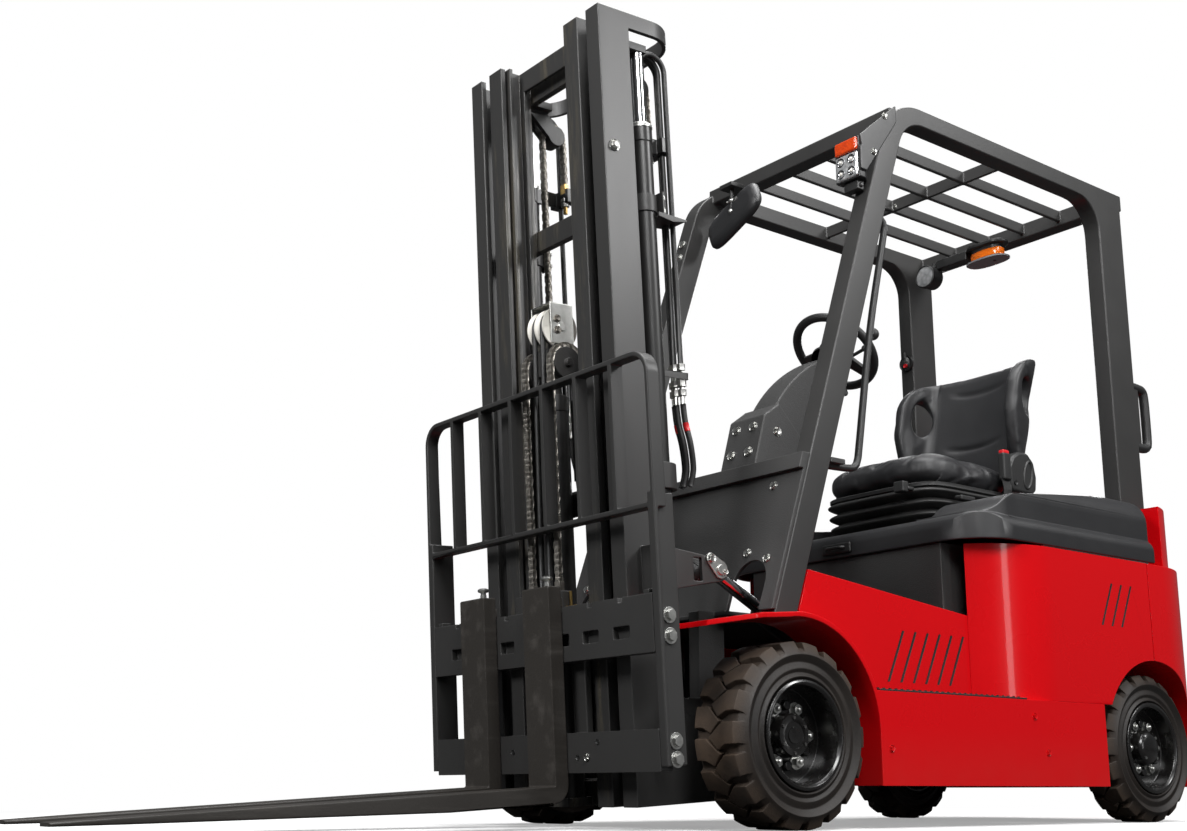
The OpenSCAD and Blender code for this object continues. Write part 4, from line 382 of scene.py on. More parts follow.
class Shape:
    """Collects simple solids into one mesh."""

    def __init__(self):
        self.bm = bmesh.new()

    def box(self, lo, hi):
        made = bmesh.ops.create_cube(self.bm, size=1.0)["verts"]
        lo, hi = Vector(lo), Vector(hi)
        m = Matrix.Translation((lo + hi) / 2) @ Matrix.Diagonal((*(hi - lo), 1))
        bmesh.ops.transform(self.bm, matrix=m, verts=made)
        return self

    def rod(self, a, b, r, n=24):
        a, b = Vector(a), Vector(b)
        m = Matrix.Translation((a + b) / 2) @ (b - a).to_track_quat("Z", "Y").to_matrix().to_4x4()
        bmesh.ops.create_cone(self.bm, cap_ends=True, segments=n, radius1=r, radius2=r,
                              depth=(b - a).length, matrix=m)
        return self

    def ball(self, at, r, n=16, squash=(1, 1, 1)):
        m = Matrix.Translation(at) @ Matrix.Diagonal((*squash, 1))
        bmesh.ops.create_uvsphere(self.bm, u_segments=n * 2, v_segments=n, radius=r, matrix=m)
        return self

    def nut(self, at, axis, r, h):
        a = Vector(at)
        return self.rod(a, a + Vector(axis).normalized() * h, r, 6)

    def bolt(self, at, axis, r, h):
        """A hexagon head on a washer."""
        a, d = Vector(at), Vector(axis).normalized()
        self.rod(a, a + d * h * 0.3, r * 1.45, 20)
        return self.rod(a + d * h * 0.3, a + d * h, r, 6)

    def turned(self, profile, m=None, n=64, closed=False):
        """Revolves (radius, height) points round local Z."""
        rings = []
        for i in range(n):
            a = 2 * math.pi * i / n
            rings.append([self.bm.verts.new((p[0] * math.cos(a), p[0] * math.sin(a), p[1])) for p in profile])
        last = len(profile) if closed else len(profile) - 1
        for i in range(n):
            p, q = rings[i], rings[(i + 1) % n]
            for j in range(last):
                k = (j + 1) % len(profile)
                self.bm.faces.new((p[j], q[j], q[k], p[k]))
        if m is not None:
            bmesh.ops.transform(self.bm, matrix=m, verts=[v for r in rings for v in r])
        return self

    def prism(self, outline, a, b):
        """Extrudes an outline in X and Z along Y from a to b."""
        lower = [self.bm.verts.new((x, a, z)) for x, z in outline]
        upper = [self.bm.verts.new((x, b, z)) for x, z in outline]
        n = len(outline)
        self.bm.faces.new(lower)
        self.bm.faces.new(list(reversed(upper)))
        for i in range(n):
            j = (i + 1) % n
            self.bm.faces.new((lower[j], lower[i], upper[i], upper[j]))
        return self

    def tube(self, points, r, n=12, closed=False):
        """Sweeps a circle along points that are close together."""
        pts = [Vector(p) for p in points]
        count = len(pts)
        up, rings = None, []
        for i, p in enumerate(pts):
            before = pts[i - 1] if closed or i else p
            after = pts[(i + 1) % count] if closed or i < count - 1 else p
            d = (after - before).normalized()
            if up is None:
                up = d.orthogonal().normalized()
            up = (up - d * up.dot(d)).normalized()
            side = d.cross(up)
            rings.append([p + (up * math.cos(t) + side * math.sin(t)) * r
                          for t in (2 * math.pi * k / n for k in range(n))])
        return self.loft(rings, closed)

    def loft(self, rings, closed=False):
        """Skins rings of points in turn, and caps the ends unless the last ring meets the first."""
        made = [[self.bm.verts.new(p) for p in ring] for ring in rings]
        for i in range(len(made) if closed else len(made) - 1):
            p, q = made[i], made[(i + 1) % len(made)]
            for k in range(len(p)):
                j = (k + 1) % len(p)
                self.bm.faces.new((p[k], p[j], q[j], q[k]))
        if not closed:
            self.bm.faces.new(list(reversed(made[0])))
            self.bm.faces.new(made[-1])
        return self

    def plate(self, centre, along, across, length, width, thick, n=5):
        """A flat plate with rounded ends."""
        c, a, t = Vector(centre), Vector(along).normalized(), Vector(across).normalized()
        s = a.cross(t)
        half, straight = width / 2, (length - width) / 2
        rim = []
        for end in SIDES:
            for k in range(n + 1):
                w = math.pi * (k / n - 0.5)
                rim.append(c + end * (a * (straight + half * math.cos(w)) + s * (half * math.sin(w))))
        return self.loft([[p - t * thick / 2 for p in rim], [p + t * thick / 2 for p in rim]])

    def bolts(self, spots, r=None, h=0.009):
        """Bolt heads at (place, outward) pairs."""
        for at, axis in spots:
            self.bolt(at, axis, r or sizes().bolt, h)
        return self

    def on_truck(self, name, look, edge=0.0, **more):
        return self.place(name, "truck", look, TRUCK, edge, **more)

    def place(self, name, body, look, at=None, edge=0.0, replaces=(), segments=2, angle=32.0):
        """Makes the mesh an object at a placement, with its finish, edges and body."""
        bmesh.ops.recalc_face_normals(self.bm, faces=self.bm.faces)
        mesh = bpy.data.meshes.new(name)
        self.bm.to_mesh(mesh)
        self.bm.free()
        for f in mesh.polygons:
            f.use_smooth = True
        mesh.materials.append(LOOKS[look])
        o = bpy.data.objects.new(name, mesh)
        bpy.context.scene.collection.objects.link(o)
        if at is not None:
            o.matrix_world = at
        round_edges(o, edge, segments, angle)
        if edge <= 0:
            split = o.modifiers.new("corners", "EDGE_SPLIT")
            split.split_angle = math.radians(angle)
        if body:
            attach(o, body)
        if replaces:
            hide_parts(*replaces)
        return o


def curve_points(points, step=0.01):
    """Points along a smooth curve through the given ones."""
    p = [Vector(q) for q in points]
    n = len(p)
    out = []
    for i in range(n - 1):
        a, b, c, d = p[max(i - 1, 0)], p[i], p[i + 1], p[min(i + 2, n - 1)]
        k = max(2, int((c - b).length / step))
        for j in range(k):
            t = j / k
            square = (2 * a - 5 * b + 4 * c - d) * t * t
            out.append(0.5 * ((2 * b) + (c - a) * t + square + (3 * b - a - 3 * c + d) * t ** 3))
    out.append(p[-1])
    return out


def on_face(node, start, toward):
    """Where a ray in the truck's frame meets a CAD node, with the face's outward direction."""
    if node not in TREES:
        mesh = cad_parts[node].data
        TREES[node] = BVHTree.FromPolygons([v.co for v in mesh.vertices], [p.vertices for p in mesh.polygons])
    spot, normal = TREES[node].ray_cast(TRUCK @ Vector(start), Vector(toward).normalized())[:2]
    if spot is None:
        raise RuntimeError(f"no face of {node} from {start}")
    return spot, normal if normal.dot(Vector(toward)) < 0 else -normal


def oval(a, b, n=48, power=2.0):
    """Points round a superellipse."""
    out = []
    for k in range(n):
        c, s = math.cos(2 * math.pi * k / n), math.sin(2 * math.pi * k / n)
        x, y = abs(c) ** (2 / power), abs(s) ** (2 / power)
        out.append((a * math.copysign(x, c), b * math.copysign(y, s)))
    return out


def stack(a, b, n, power, levels, x=0.0, y=0.0):
    """Level rings of one oval, each grown by its own amount, ready for a loft."""
    return [[(x + u, y + v, z) for u, v in oval(a + grow, b + grow, n, power)] for z, grow in levels]


# Operators

class TRUCK_OT_finishes(bpy.types.Operator):
    """Make the paints, plastics, soft covers and metals"""
    bl_idname = "truck.finishes"
    bl_label = "Finishes"

    def execute(self, context):
        make_paints()
        make_plastics()
        make_soft()
        make_metals()
        make_lenses()
        make_plain()
        return {"FINISHED"}


class TRUCK_OT_body(bpy.types.Operator):
    """Paint the frame, panels, cowl, hood and counterweight and add their trim"""
    bl_idname = "truck.body"
    bl_label = "Body"

    def execute(self, context):
        dress("side_frames", "red_paint", 0.002, 2)
        dress("rear_panels", "red_paint", 0.0008, 1)
        dress("counterweight", "red_paint", 0.002, 2)
        dress("cowl", "cowl_texture")
        dress("hood", "hood_plastic", 0.004, 3, 40.0)
        dress("battery", "barrel_black", 0.006)
        for n in ("drive_axle", "steer_axle"):
            dress(n, "axle_iron", 0.004)
        for n in ("knuckle_left", "knuckle_right"):
            dress(n, "axle_iron", 0.0012)
        self.steps()
        # Painted shade in the slots of the side frames and rear panels.
        self.painted_slot_shade()
        self.fasteners()
        self.hood_trim()
        return {"FINISHED"}

    def steps(self):
        """Toothed tread plates on the ledges below the side panels."""
        plate, teeth = Shape(), Shape()
        for side in SIDES:
            plate.box((-0.9, side * 0.452, 0.3465), (-0.279, side * 0.56, 0.3515))
            for i in range(26):
                for j in range(4):
                    turn, shift = (1, 0.011) if j % 2 else (-1, 0.0)
                    spot = (-0.892 + i * 0.0238 + shift, side * (0.463 + j * 0.0275), 0.353)
                    teeth.plate(spot, (1, 0.55 * turn, 0), (0, 0, 1), 0.02, 0.006, 0.004, 3)
        plate.on_truck("step_plates", "grip_plastic", 0.0012)
        teeth.on_truck("step_treads", "grip_plastic")

    def painted_slot_shade(self):
        """Dark plates in the slanted slots of the side frames and rear panels, as painted shade where the
        slots lie in shadow.
        """
        rows = ((6, -0.454, 0.384, 0.141, 0.443), (3, -1.304, 0.586, 0.131, 0.56))
        pitch, slant = 0.052, math.tan(math.radians(26.0))
        shade_plate = Shape()
        for side in SIDES:
            for count, x0, z0, h, face in rows:
                lean = h * slant
                for i in range(count):
                    x = x0 - i * pitch
                    near, far = x - 0.001, x + 0.008
                    outline = [(near, z0), (far, z0), (far - lean, z0 + h), (near - lean, z0 + h)]
                    shade_plate.prism(outline, side * (face - 0.008), side * (face + 0.0004))
        # These dark plates are painted shade inside the slots.
        shade_plate.on_truck("slot_shade_plates", "grip_plastic")

    def fasteners(self):
        """Bolts on the cowl's front and on the lower side frames."""
        spots = []
        for side in SIDES:
            for y, z in ((0.384, 0.69), (0.345, 0.9), (0.303, 0.715)):
                spots.append(on_face("cowl", (0.5, side * y, z), (-1, 0, 0)))
        Shape().bolts(spots, 0.0085, 0.008).place("cowl_bolts", "truck", "zinc")
        spots = []
        for side in SIDES:
            for x, z in ((-0.985, 0.2), (-0.93, 0.3), (-0.315, 0.2)):
                spots.append(on_face("side_frames", (x, side * 1.2, z), (0, -side, 0)))
        Shape().bolts(spots, 0.007, 0.005).place("frame_bolts", "truck", "red_paint")

    def hood_trim(self):
        """The seals along the hood's sides, and its latch with a pull."""
        seal = Shape()
        for side in SIDES:
            seal.tube([(x, side * 0.5455, 0.8035) for x in (-1.04, -1.2, -1.4, -1.6)], 0.0035, 10)
        seal.on_truck("hood_seal", "hose_rubber")
        latch = Shape().box((-0.7535, -0.06, 0.818), (-0.744, 0.06, 0.852))
        latch.on_truck("hood_latch", "grip_plastic", 0.006, segments=3)
        grip = ((-0.745, -0.034), (-0.735, -0.028), (-0.733, 0.0), (-0.735, 0.028), (-0.745, 0.034))
        pull = Shape().tube(curve_points([(x, y, 0.836) for x, y in grip], 0.006), 0.005, 12)
        pull.on_truck("hood_pull", "grip_plastic")


class TRUCK_OT_guard(bpy.types.Operator):
    """Paint the overhead guard and dress its lamps, mirror and handles"""
    bl_idname = "truck.guard"
    bl_label = "Overhead guard"

    def execute(self, context):
        dress("overhead_guard", "charcoal_paint", 0.005, 3)
        dress("lamps", "lamp_body", 0.004, 3)
        self.head_lamp()
        self.roof_lamps()
        self.mirror()
        self.small()
        return {"FINISHED"}

    def head_lamp(self):
        """An orange turn lens over a clear lens with four light cups."""
        face = -0.4175
        for name, look, low, high, proud in (("turn_lens", "orange_lens", 1.925, 1.966, 0.009),
                                             ("head_lens", "clear_lens", 1.845, 1.922, 0.006)):
            lens = Shape().box((face - 0.004, 0.357, low), (face + proud, 0.441, high))
            lens.on_truck(name, look, 0.006, segments=4)
        dish = [(0.0135, -0.001), (0.0138, 0.0018), (0.0118, 0.0022), (0.0075, -0.0005), (0.0003, -0.0006)]
        cups, beads = Shape(), Shape()
        for y in (0.379, 0.419):
            for z in (1.865, 1.902):
                turn = Matrix.Translation((face + 0.006, y, z)) @ Matrix.Rotation(math.pi / 2, 4, "Y")
                cups.turned(dish, turn, 28)
                beads.ball((face + 0.0065, y, z), 0.005, 8)
        cups.on_truck("lamp_cups", "rod_chrome")
        beads.on_truck("lamp_beads", "white_nylon")
        foot = Shape().box((face - 0.04, 0.372, 1.812), (face - 0.012, 0.426, 1.846))
        foot.rod((face - 0.026, 0.366, 1.826), (face - 0.026, 0.432, 1.826), 0.007, 16)
        foot.on_truck("lamp_foot", "lamp_body", 0.003)
        spots = [on_face("lamps", (x, 0.6, z), (0, -1, 0)) for x, z in ((-0.475, 1.93), (-0.53, 2.06))]
        Shape().bolts(spots, 0.0075, 0.007).place("lamp_bolts", "truck", "zinc")

    def roof_lamps(self):
        """The beacon with its amber band and the work lamp, hung from the rear bar."""
        x, y = -1.676, -0.042
        band = ((2.024, -0.004), (2.027, 0.0), (2.04, 0.002), (2.053, 0.0), (2.056, -0.004))
        Shape().loft(stack(0.0305, 0.0655, 40, 3.0, band, x, y)).on_truck("beacon_band", "amber_lens")
        plate = ((2.012, -0.006), (2.0135, 0.0), (2.019, 0.0), (2.0205, -0.004))
        Shape().loft(stack(0.046, 0.087, 40, 2.6, plate, x, y)).on_truck("beacon_plate", "grey_plastic")
        vent = Shape().rod((x, y + 0.03, 2.0105), (x, y + 0.03, 2.0125), 0.006, 14)
        vent.on_truck("beacon_vent", "lamp_body")
        box = Shape().box((x - 0.022, -0.262, 2.042), (x + 0.024, -0.122, 2.079))
        box.on_truck("lamp_relay_box", "lamp_body", 0.005, segments=3)
        turn = Matrix.Translation((-1.62, -0.29, 2.016)) @ Matrix.Rotation(math.pi / 2, 4, "Y")
        ring = [(0.044, -0.012), (0.0445, 0.004), (0.0405, 0.0065), (0.0385, 0.0025)]
        Shape().turned(ring, turn, 48).on_truck("work_lamp_ring", "lamp_body")
        lens = [(0.039, 0.0022), (0.03, 0.0046), (0.016, 0.0062), (0.0004, 0.0066)]
        Shape().turned(lens, turn, 48).on_truck("work_lamp_lens", "clear_lens")
        spots = [on_face("overhead_guard", (-1.0, v, 2.11), (-1, 0, 0)) for v in (-0.2, -0.06)]
        Shape().bolts(spots, 0.007, 0.006).place("rear_bar_bolts", "truck", "zinc")

    def mirror(self):
        """A convex mirror in a black shell, turned on a ball joint."""
        turn = Matrix.Translation((-0.56, -0.232, 1.974)) @ Matrix.Rotation(math.radians(24), 4, "X")
        turn = TRUCK @ (turn @ Matrix.Rotation(math.radians(-8), 4, "Y"))
        shell = ((-0.012, 0.004), (-0.01, 0.0), (0.0, 0.0), (0.008, 0.006), (0.014, 0.018), (0.017, 0.036))
        rings = [[(x, y, z) for y, z in oval(0.128 - i, 0.062 - i, 48, 4.0)] for x, i in shell]
        Shape().loft(rings).place("mirror_shell", "truck", "hood_plastic", turn, angle=50.0,
                                  replaces=("rear_mirror",))
        glass = ((-0.0105, 0.0), (-0.0125, 0.001), (-0.017, 0.016), (-0.0185, 0.04))
        rings = [[(x, y, z) for y, z in oval(0.12 - i, 0.055 - i, 48, 4.0)] for x, i in glass]
        Shape().loft(rings).place("mirror_glass", "truck", "mirror_glass", turn, angle=60.0)
        y, elbow = -0.232, (-0.552, -0.232, 2.026)
        arm = Shape().rod((-0.556, y, 2.088), (-0.552, y, 2.028), 0.007, 16)
        arm.rod((-0.552, y, 2.03), (-0.548, y, 1.985), 0.0055, 16)
        arm.box((-0.585, -0.262, 2.066), (-0.525, -0.202, 2.081))
        arm.on_truck("mirror_arm", "lamp_body", 0.002)
        joint = Shape().ball(elbow, 0.0105, 12)
        joint.rod((-0.552, -0.254, 2.026), (-0.552, -0.21, 2.026), 0.004, 12)
        joint.nut((-0.552, -0.216, 2.026), (0, 1, 0), 0.0085, 0.007)
        joint.ball((-0.547, y, 1.986), 0.0095, 12)
        joint.on_truck("mirror_joint", "zinc")

    def small(self):
        """Bolts of the front pillar and rear post, and the belt reel's knob."""
        front = [on_face("overhead_guard", (0.4, -POST_Y, z), (-1, 0, 0)) for z in (1.912, 1.86)]
        rear = [on_face("overhead_guard", (-1.7, -0.9, z), (0, 1, 0)) for z in (1.1, 1.18)]
        Shape().bolts(front, 0.01, 0.01).bolts(rear).place("guard_bolts", "truck", "zinc")
        knob = Shape().ball((-1.632, -0.412, 1.7), 0.022, 12, (0.7, 1, 1.25))
        knob.rod((-1.64, -0.412, 1.7), (-1.628, -0.412, 1.7), 0.03, 24)
        knob.rod((-1.626, -0.412, 1.715), (-1.618, -0.412, 1.742), 0.008, 14)
        knob.on_truck("belt_reel_knob", "grip_plastic")
        dot = Shape().rod((-1.619, -0.404, 1.688), (-1.612, -0.403, 1.687), 0.0075, 18)
        dot.on_truck("knob_dot", "button_red")
        self.bars()

    def bars(self):
        """Rear hand bars on both posts and the long tube behind the left front pillar."""
        loop = ((-1.77, 1.452), (-1.84, 1.452), (-1.868, 1.446), (-1.878, 1.424), (-1.88, 1.345),
                (-1.878, 1.266), (-1.868, 1.246), (-1.84, 1.24), (-1.77, 1.24))
        tube = ((-0.505, 1.752), (-0.535, 1.745), (-0.549, 1.722), (-0.536, 1.662), (-0.467, 1.387),
                (-0.404, 1.053), (-0.392, 0.996), (-0.378, 0.974), (-0.345, 0.966), (-0.24, 0.962))
        bars, feet = Shape(), Shape()
        for side in SIDES:
            y = side * POST_Y
            bars.tube(curve_points([(x, y, z) for x, z in loop], 0.008), 0.016, 14)
            feet.box((-1.828, y - 0.012, 1.226), (-1.77, y + 0.012, 1.466))
        bars.tube(curve_points([(x, POST_Y, z) for x, z in tube], 0.01), 0.0105, 16)
        bars.on_truck("grab_bars", "grip_plastic", replaces=("grab_handles",))
        feet.on_truck("grab_feet", "charcoal_paint", 0.004, segments=3)


class TRUCK_OT_steering(bpy.types.Operator):
    """Dress the steering column and wheel"""
    bl_idname = "truck.steering"
    bl_label = "Steering"

    def execute(self, context):
        dress("steering_column", "cowl_texture", 0.006, 3)
        dress("steering_wheel", "grip_plastic", 0.0025, 2, 45.0)
        spots = []
        for y in (-0.036, 0.036):
            spots += [on_face("steering_column", (0.3, y, z), (-1, 0, 0)) for z in (1.082, 1.163)]
        bolts = Shape().bolts(spots, 0.0105, 0.01)
        bolts.bolts([on_face("steering_column", (-0.425, 0.5, 1.15), (0, -1, 0))], 0.0105, 0.008)
        bolts.place("column_bolts", "truck", "zinc")
        m = TRUCK @ Matrix.Translation((-0.777, 0, 1.484)) @ Matrix.Rotation(math.radians(-42), 4, "Y")
        crown = ((0.04, 0.0135), (0.042, 0.016), (0.041, 0.021), (0.034, 0.0245), (0.012, 0.0255))
        cap = Shape().loft([[(x, y, z) for x, y in oval(r, r * 0.86, 40, 3.0)] for r, z in crown])
        cap.place("wheel_hub_cap", "truck", "grey_plastic", m, angle=50.0)
        folds = [(0.056, -0.06), (0.058, -0.05), (0.05, -0.038), (0.052, -0.03), (0.044, -0.018),
                 (0.042, -0.008)]
        Shape().turned(folds, m, 40).place("column_boot", "truck", "bellows_rubber", angle=60.0)
        stem = curve_points([(-0.015, 0.03, -0.045), (-0.012, 0.085, -0.04), (-0.006, 0.135, -0.03)], 0.008)
        stalk = Shape().tube(stem, 0.0055, 12).ball((-0.005, 0.139, -0.029), 0.011, 10)
        stalk.place("direction_stalk", "truck", "grip_plastic", m)
        return {"FINISHED"}


def swell(o, cap, pressure=4.0):
    """Blows a closed mesh up as stuffed cloth and keeps each point within the cap."""
    scene = bpy.context.scene
    rest = [v.co.copy() for v in o.data.vertices]
    cloth = o.modifiers.new("cloth", "CLOTH")
    cloth.settings.use_pressure = True
    cloth.settings.uniform_pressure_force = pressure
    cloth.settings.effector_weights.gravity = 0.0
    cloth.settings.tension_stiffness = cloth.settings.compression_stiffness = 25.0
    cloth.settings.mass = 0.25
    cloth.collision_settings.use_collision = False
    frames = 20
    cloth.point_cache.frame_start, cloth.point_cache.frame_end = 1, frames
    for f in range(1, frames + 1):
        scene.frame_set(f)
    done = bpy.data.meshes.new_from_object(o.evaluated_get(bpy.context.evaluated_depsgraph_get()))
    o.modifiers.remove(cloth)
    for v, was, now in zip(o.data.vertices, rest, done.vertices):
        step = now.co - was
        v.co = was + step * min(1.0, cap / max(step.length, 1e-9))
    bpy.data.meshes.remove(done)
    scene.frame_set(1)


def fused(shape, name, look, voxel, rounds, thick=0.0):
    """One closed skin round overlapping solids or a thickened sheet, smoothed like a moulding."""
    o = shape.place(name, None, look)
    o.modifiers.clear()
    if thick:
        sheet = o.modifiers.new("sheet", "SOLIDIFY")
        sheet.thickness, sheet.offset = thick, 0.0
    skin = o.modifiers.new("skin", "REMESH")
    skin.mode, skin.voxel_size, skin.use_smooth_shade = "VOXEL", voxel, True
    soft = o.modifiers.new("soft", "SMOOTH")
    soft.factor, soft.iterations = 0.5, rounds
    mesh = bpy.data.meshes.new_from_object(o.evaluated_get(bpy.context.evaluated_depsgraph_get()))
    o.modifiers.clear()
    o.data = mesh
    mesh.materials.clear()
    mesh.materials.append(LOOKS[look])
    return o


def smooth_out(o):
    """Shades a padded mesh smooth, and eases and refines it."""
    o.data.polygons.foreach_set("use_smooth", [True] * len(o.data.polygons))
    ease = o.modifiers.new("ease", "SMOOTH")
    ease.factor, ease.iterations = 0.5, 8
    finer = o.modifiers.new("finer", "SUBSURF")
    finer.levels = finer.render_levels = 1


class TRUCK_OT_seat(bpy.types.Operator):
    """Make the seat with its bellows, belt buckle and side cover"""
    bl_idname = "truck.seat"
    bl_label = "Seat"

    def execute(self, context):
        self.cushion()
        self.back()
        self.bellows()
        self.trim()
        return {"FINISHED"}

    def cushion(self):
        """A crowned pad with rolled sides and two sewn channels along it."""
        levels = ((1.04, -0.05), (1.048, -0.024), (1.066, -0.008), (1.09, -0.004), (1.11, -0.012),
                  (1.124, -0.034), (1.13, -0.07))
        rings = stack(0.236, 0.246, 64, 5.0, levels, -1.16)
        o = fused(Shape().loft(rings), "seat_cushion_pad", "seat_vinyl", 0.006, 6)
        swell(o, 0.012, 2.0)
        top, seam, seam_width, seam_depth = 1.09, 0.135, 0.007, 0.008
        for v in o.data.vertices:
            x, y, z = v.co
            if z > top:
                roll = min(1.0, abs(y) / 0.15) ** 6 * 0.012
                nose = max(0.0, 1 - ((x + 1.02) / 0.1) ** 2)
                v.co.z += roll * max(0.0, 1 - abs(y) / 0.26) + 0.01 * nose
                v.co.z -= seam_depth * math.exp(-((abs(y) - seam) / seam_width) ** 2)
            v.co.x += 0.03 * max(0.0, (1.075 - z) / 0.04) * (1 if x < -1.0 else -0.6)
        o.matrix_world = TRUCK
        smooth_out(o)
        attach(o, "truck")
        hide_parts("seat_cushion")

    def back(self):
        """A moulded shell whose sides wrap forward and carry open ovals at the hips."""
        m = Matrix.Translation((-1.392, 0, 1.05)) @ Matrix.Rotation(-math.radians(13), 4, "Y")
        cols, rows, spots = 132, 96, {}
        hole_x, hole_z, hole_wide, hole_tall = 0.02, 0.362, 0.044, 0.066
        shell = Shape()
        for i in range(cols + 1):
            for k in range(rows + 1):
                s, t = (2 * i / cols - 1) * 0.985, k / rows
                x, y, z = self.shell_spot(s, t)
                hole = ((x - hole_x) / hole_wide) ** 2 + ((z - hole_z) / hole_tall) ** 2
                if abs(s) < BACK_FLAT or hole > 1:
                    spots[i, k] = shell.bm.verts.new((x, y, z))
        for i in range(cols):
            for k in range(rows):
                ring = [spots.get(c) for c in ((i, k), (i + 1, k), (i + 1, k + 1), (i, k + 1))]
                if all(ring):
                    shell.bm.faces.new(ring)
        o = fused(shell, "seat_back_pad", "seat_vinyl", 0.006, 14, 0.046)
        swell(o, 0.008)
        for v in o.data.vertices:
            x, y, z = v.co
            if x > -0.062 and abs(y) < 0.14:
                fade = max(0.0, 1 - (y / 0.12) ** 4)
                for level, depth in ((0.225, 0.01), (0.44, 0.009)):
                    v.co.x -= depth * fade * math.exp(-((z - level - 0.9 * y * y) / 0.008) ** 2)
        o.matrix_world = TRUCK @ m
        smooth_out(o)
        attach(o, "truck")
        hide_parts("seat_back")

    def shell_spot(self, s, t):
        """A point of the back's middle skin: s runs across it and t up it, both as shares."""
        wing = max(0.0, (abs(s) - BACK_FLAT) / 0.55)
        low = 0.3 - 0.3 * (1 - wing ** 1.6) ** 0.8
        z = low + (0.325 + 0.2 * math.sqrt(1 - wing ** 2.3) - low) * t
        run, bend = wing * 0.21, 0.075
        turn = min(run / bend, math.radians(84))
        ahead = max(0.0, run - bend * turn)
        inner = min(1.0, abs(s) / BACK_FLAT)
        x = -0.058 + 0.012 * inner ** 2 + bend * (1 - math.cos(turn)) + ahead * math.sin(turn)
        x += 0.014 * math.exp(-((z - 0.14) / 0.08) ** 2) * (1 - wing)
        y = 0.15 * inner + bend * math.sin(turn) + ahead * math.cos(turn)
        return x, math.copysign(y, s), z

    def bellows(self):
        """Rubber folds between the hood and the seat plate."""
        folds, levels = sizes().folds, []
        low, high = 0.888, 1.036
        n = folds * 12
        for i in range(n + 1):
            t = i / n
            wave = 0.5 - 0.5 * math.cos(2 * math.pi * t * folds)
            levels.append((low + (high - low) * t, -0.014 + 0.026 * wave ** 0.7 + 0.012 * t))
        skin = Shape().loft(stack(0.212, 0.218, 56, 6.0, levels, SEAT_X))
        skin.on_truck("seat_bellows", "bellows_rubber", replaces=("seat_base",), angle=60.0)
        levels = ((1.03, 0.0), (1.033, 0.004), (1.043, 0.004), (1.046, 0.0))
        Shape().loft(stack(0.222, 0.232, 56, 6.0, levels, SEAT_X)).on_truck("seat_plate", "grip_plastic")

    def trim(self):
        """Side covers with their rims, the belt's buckle and strap, and the levers."""
        outline = [(-1.315, 1.05), (-1.3, 1.075), (-1.296, 1.13), (-1.318, 1.166), (-1.352, 1.186),
                   (-1.398, 1.188), (-1.43, 1.16), (-1.442, 1.11), (-1.436, 1.065), (-1.415, 1.046)]
        cover, rims = Shape(), Shape()
        for side in SIDES:
            cover.prism(outline, side * 0.228, side * 0.268)
            ring = [(-1.392 + x * 0.8 - z * 0.2, side * 0.268, 1.112 + z) for x, z in oval(0.026, 0.046, 36)]
            rims.tube(ring, 0.0045, 10, True)
            rims.rod((-1.322, side * 0.266, 1.078), (-1.322, side * 0.2715, 1.078), 0.008, 18)
        cover.on_truck("seat_side_covers", "grip_plastic", 0.01, segments=4)
        rims.on_truck("seat_cover_rims", "grip_plastic")
        buckle = Shape().box((-1.3, 0.246, 1.082), (-1.262, 0.272, 1.172))
        buckle.on_truck("belt_buckle", "grip_plastic", 0.006, segments=3)
        button = Shape().box((-1.297, 0.249, 1.168), (-1.265, 0.269, 1.182))
        button.on_truck("buckle_button", "button_red", 0.004, segments=3)
        strap = curve_points([(-1.281, 0.259, 1.09), (-1.285, 0.262, 1.06), (-1.3, 0.25, 1.036)], 0.006)
        across = ((-0.022, -0.0016), (0.022, -0.0016), (0.022, 0.0016), (-0.022, 0.0016))
        web = Shape().loft([[p + Vector((a, b, 0)) for a, b in across] for p in strap])
        web.on_truck("belt_strap", "belt_web")
        lever = Shape().box((-0.935, 0.12, 1.018), (-0.905, 0.168, 1.03))
        lever.box((-0.912, 0.124, 1.012), (-0.884, 0.164, 1.046))
        lever.rod((-1.05, 0.235, 1.0), (-1.05, 0.262, 0.996), 0.007, 14)
        lever.box((-1.11, 0.256, 0.988), (-1.04, 0.266, 1.004))
        lever.on_truck("seat_levers", "grip_plastic", 0.004, segments=3)


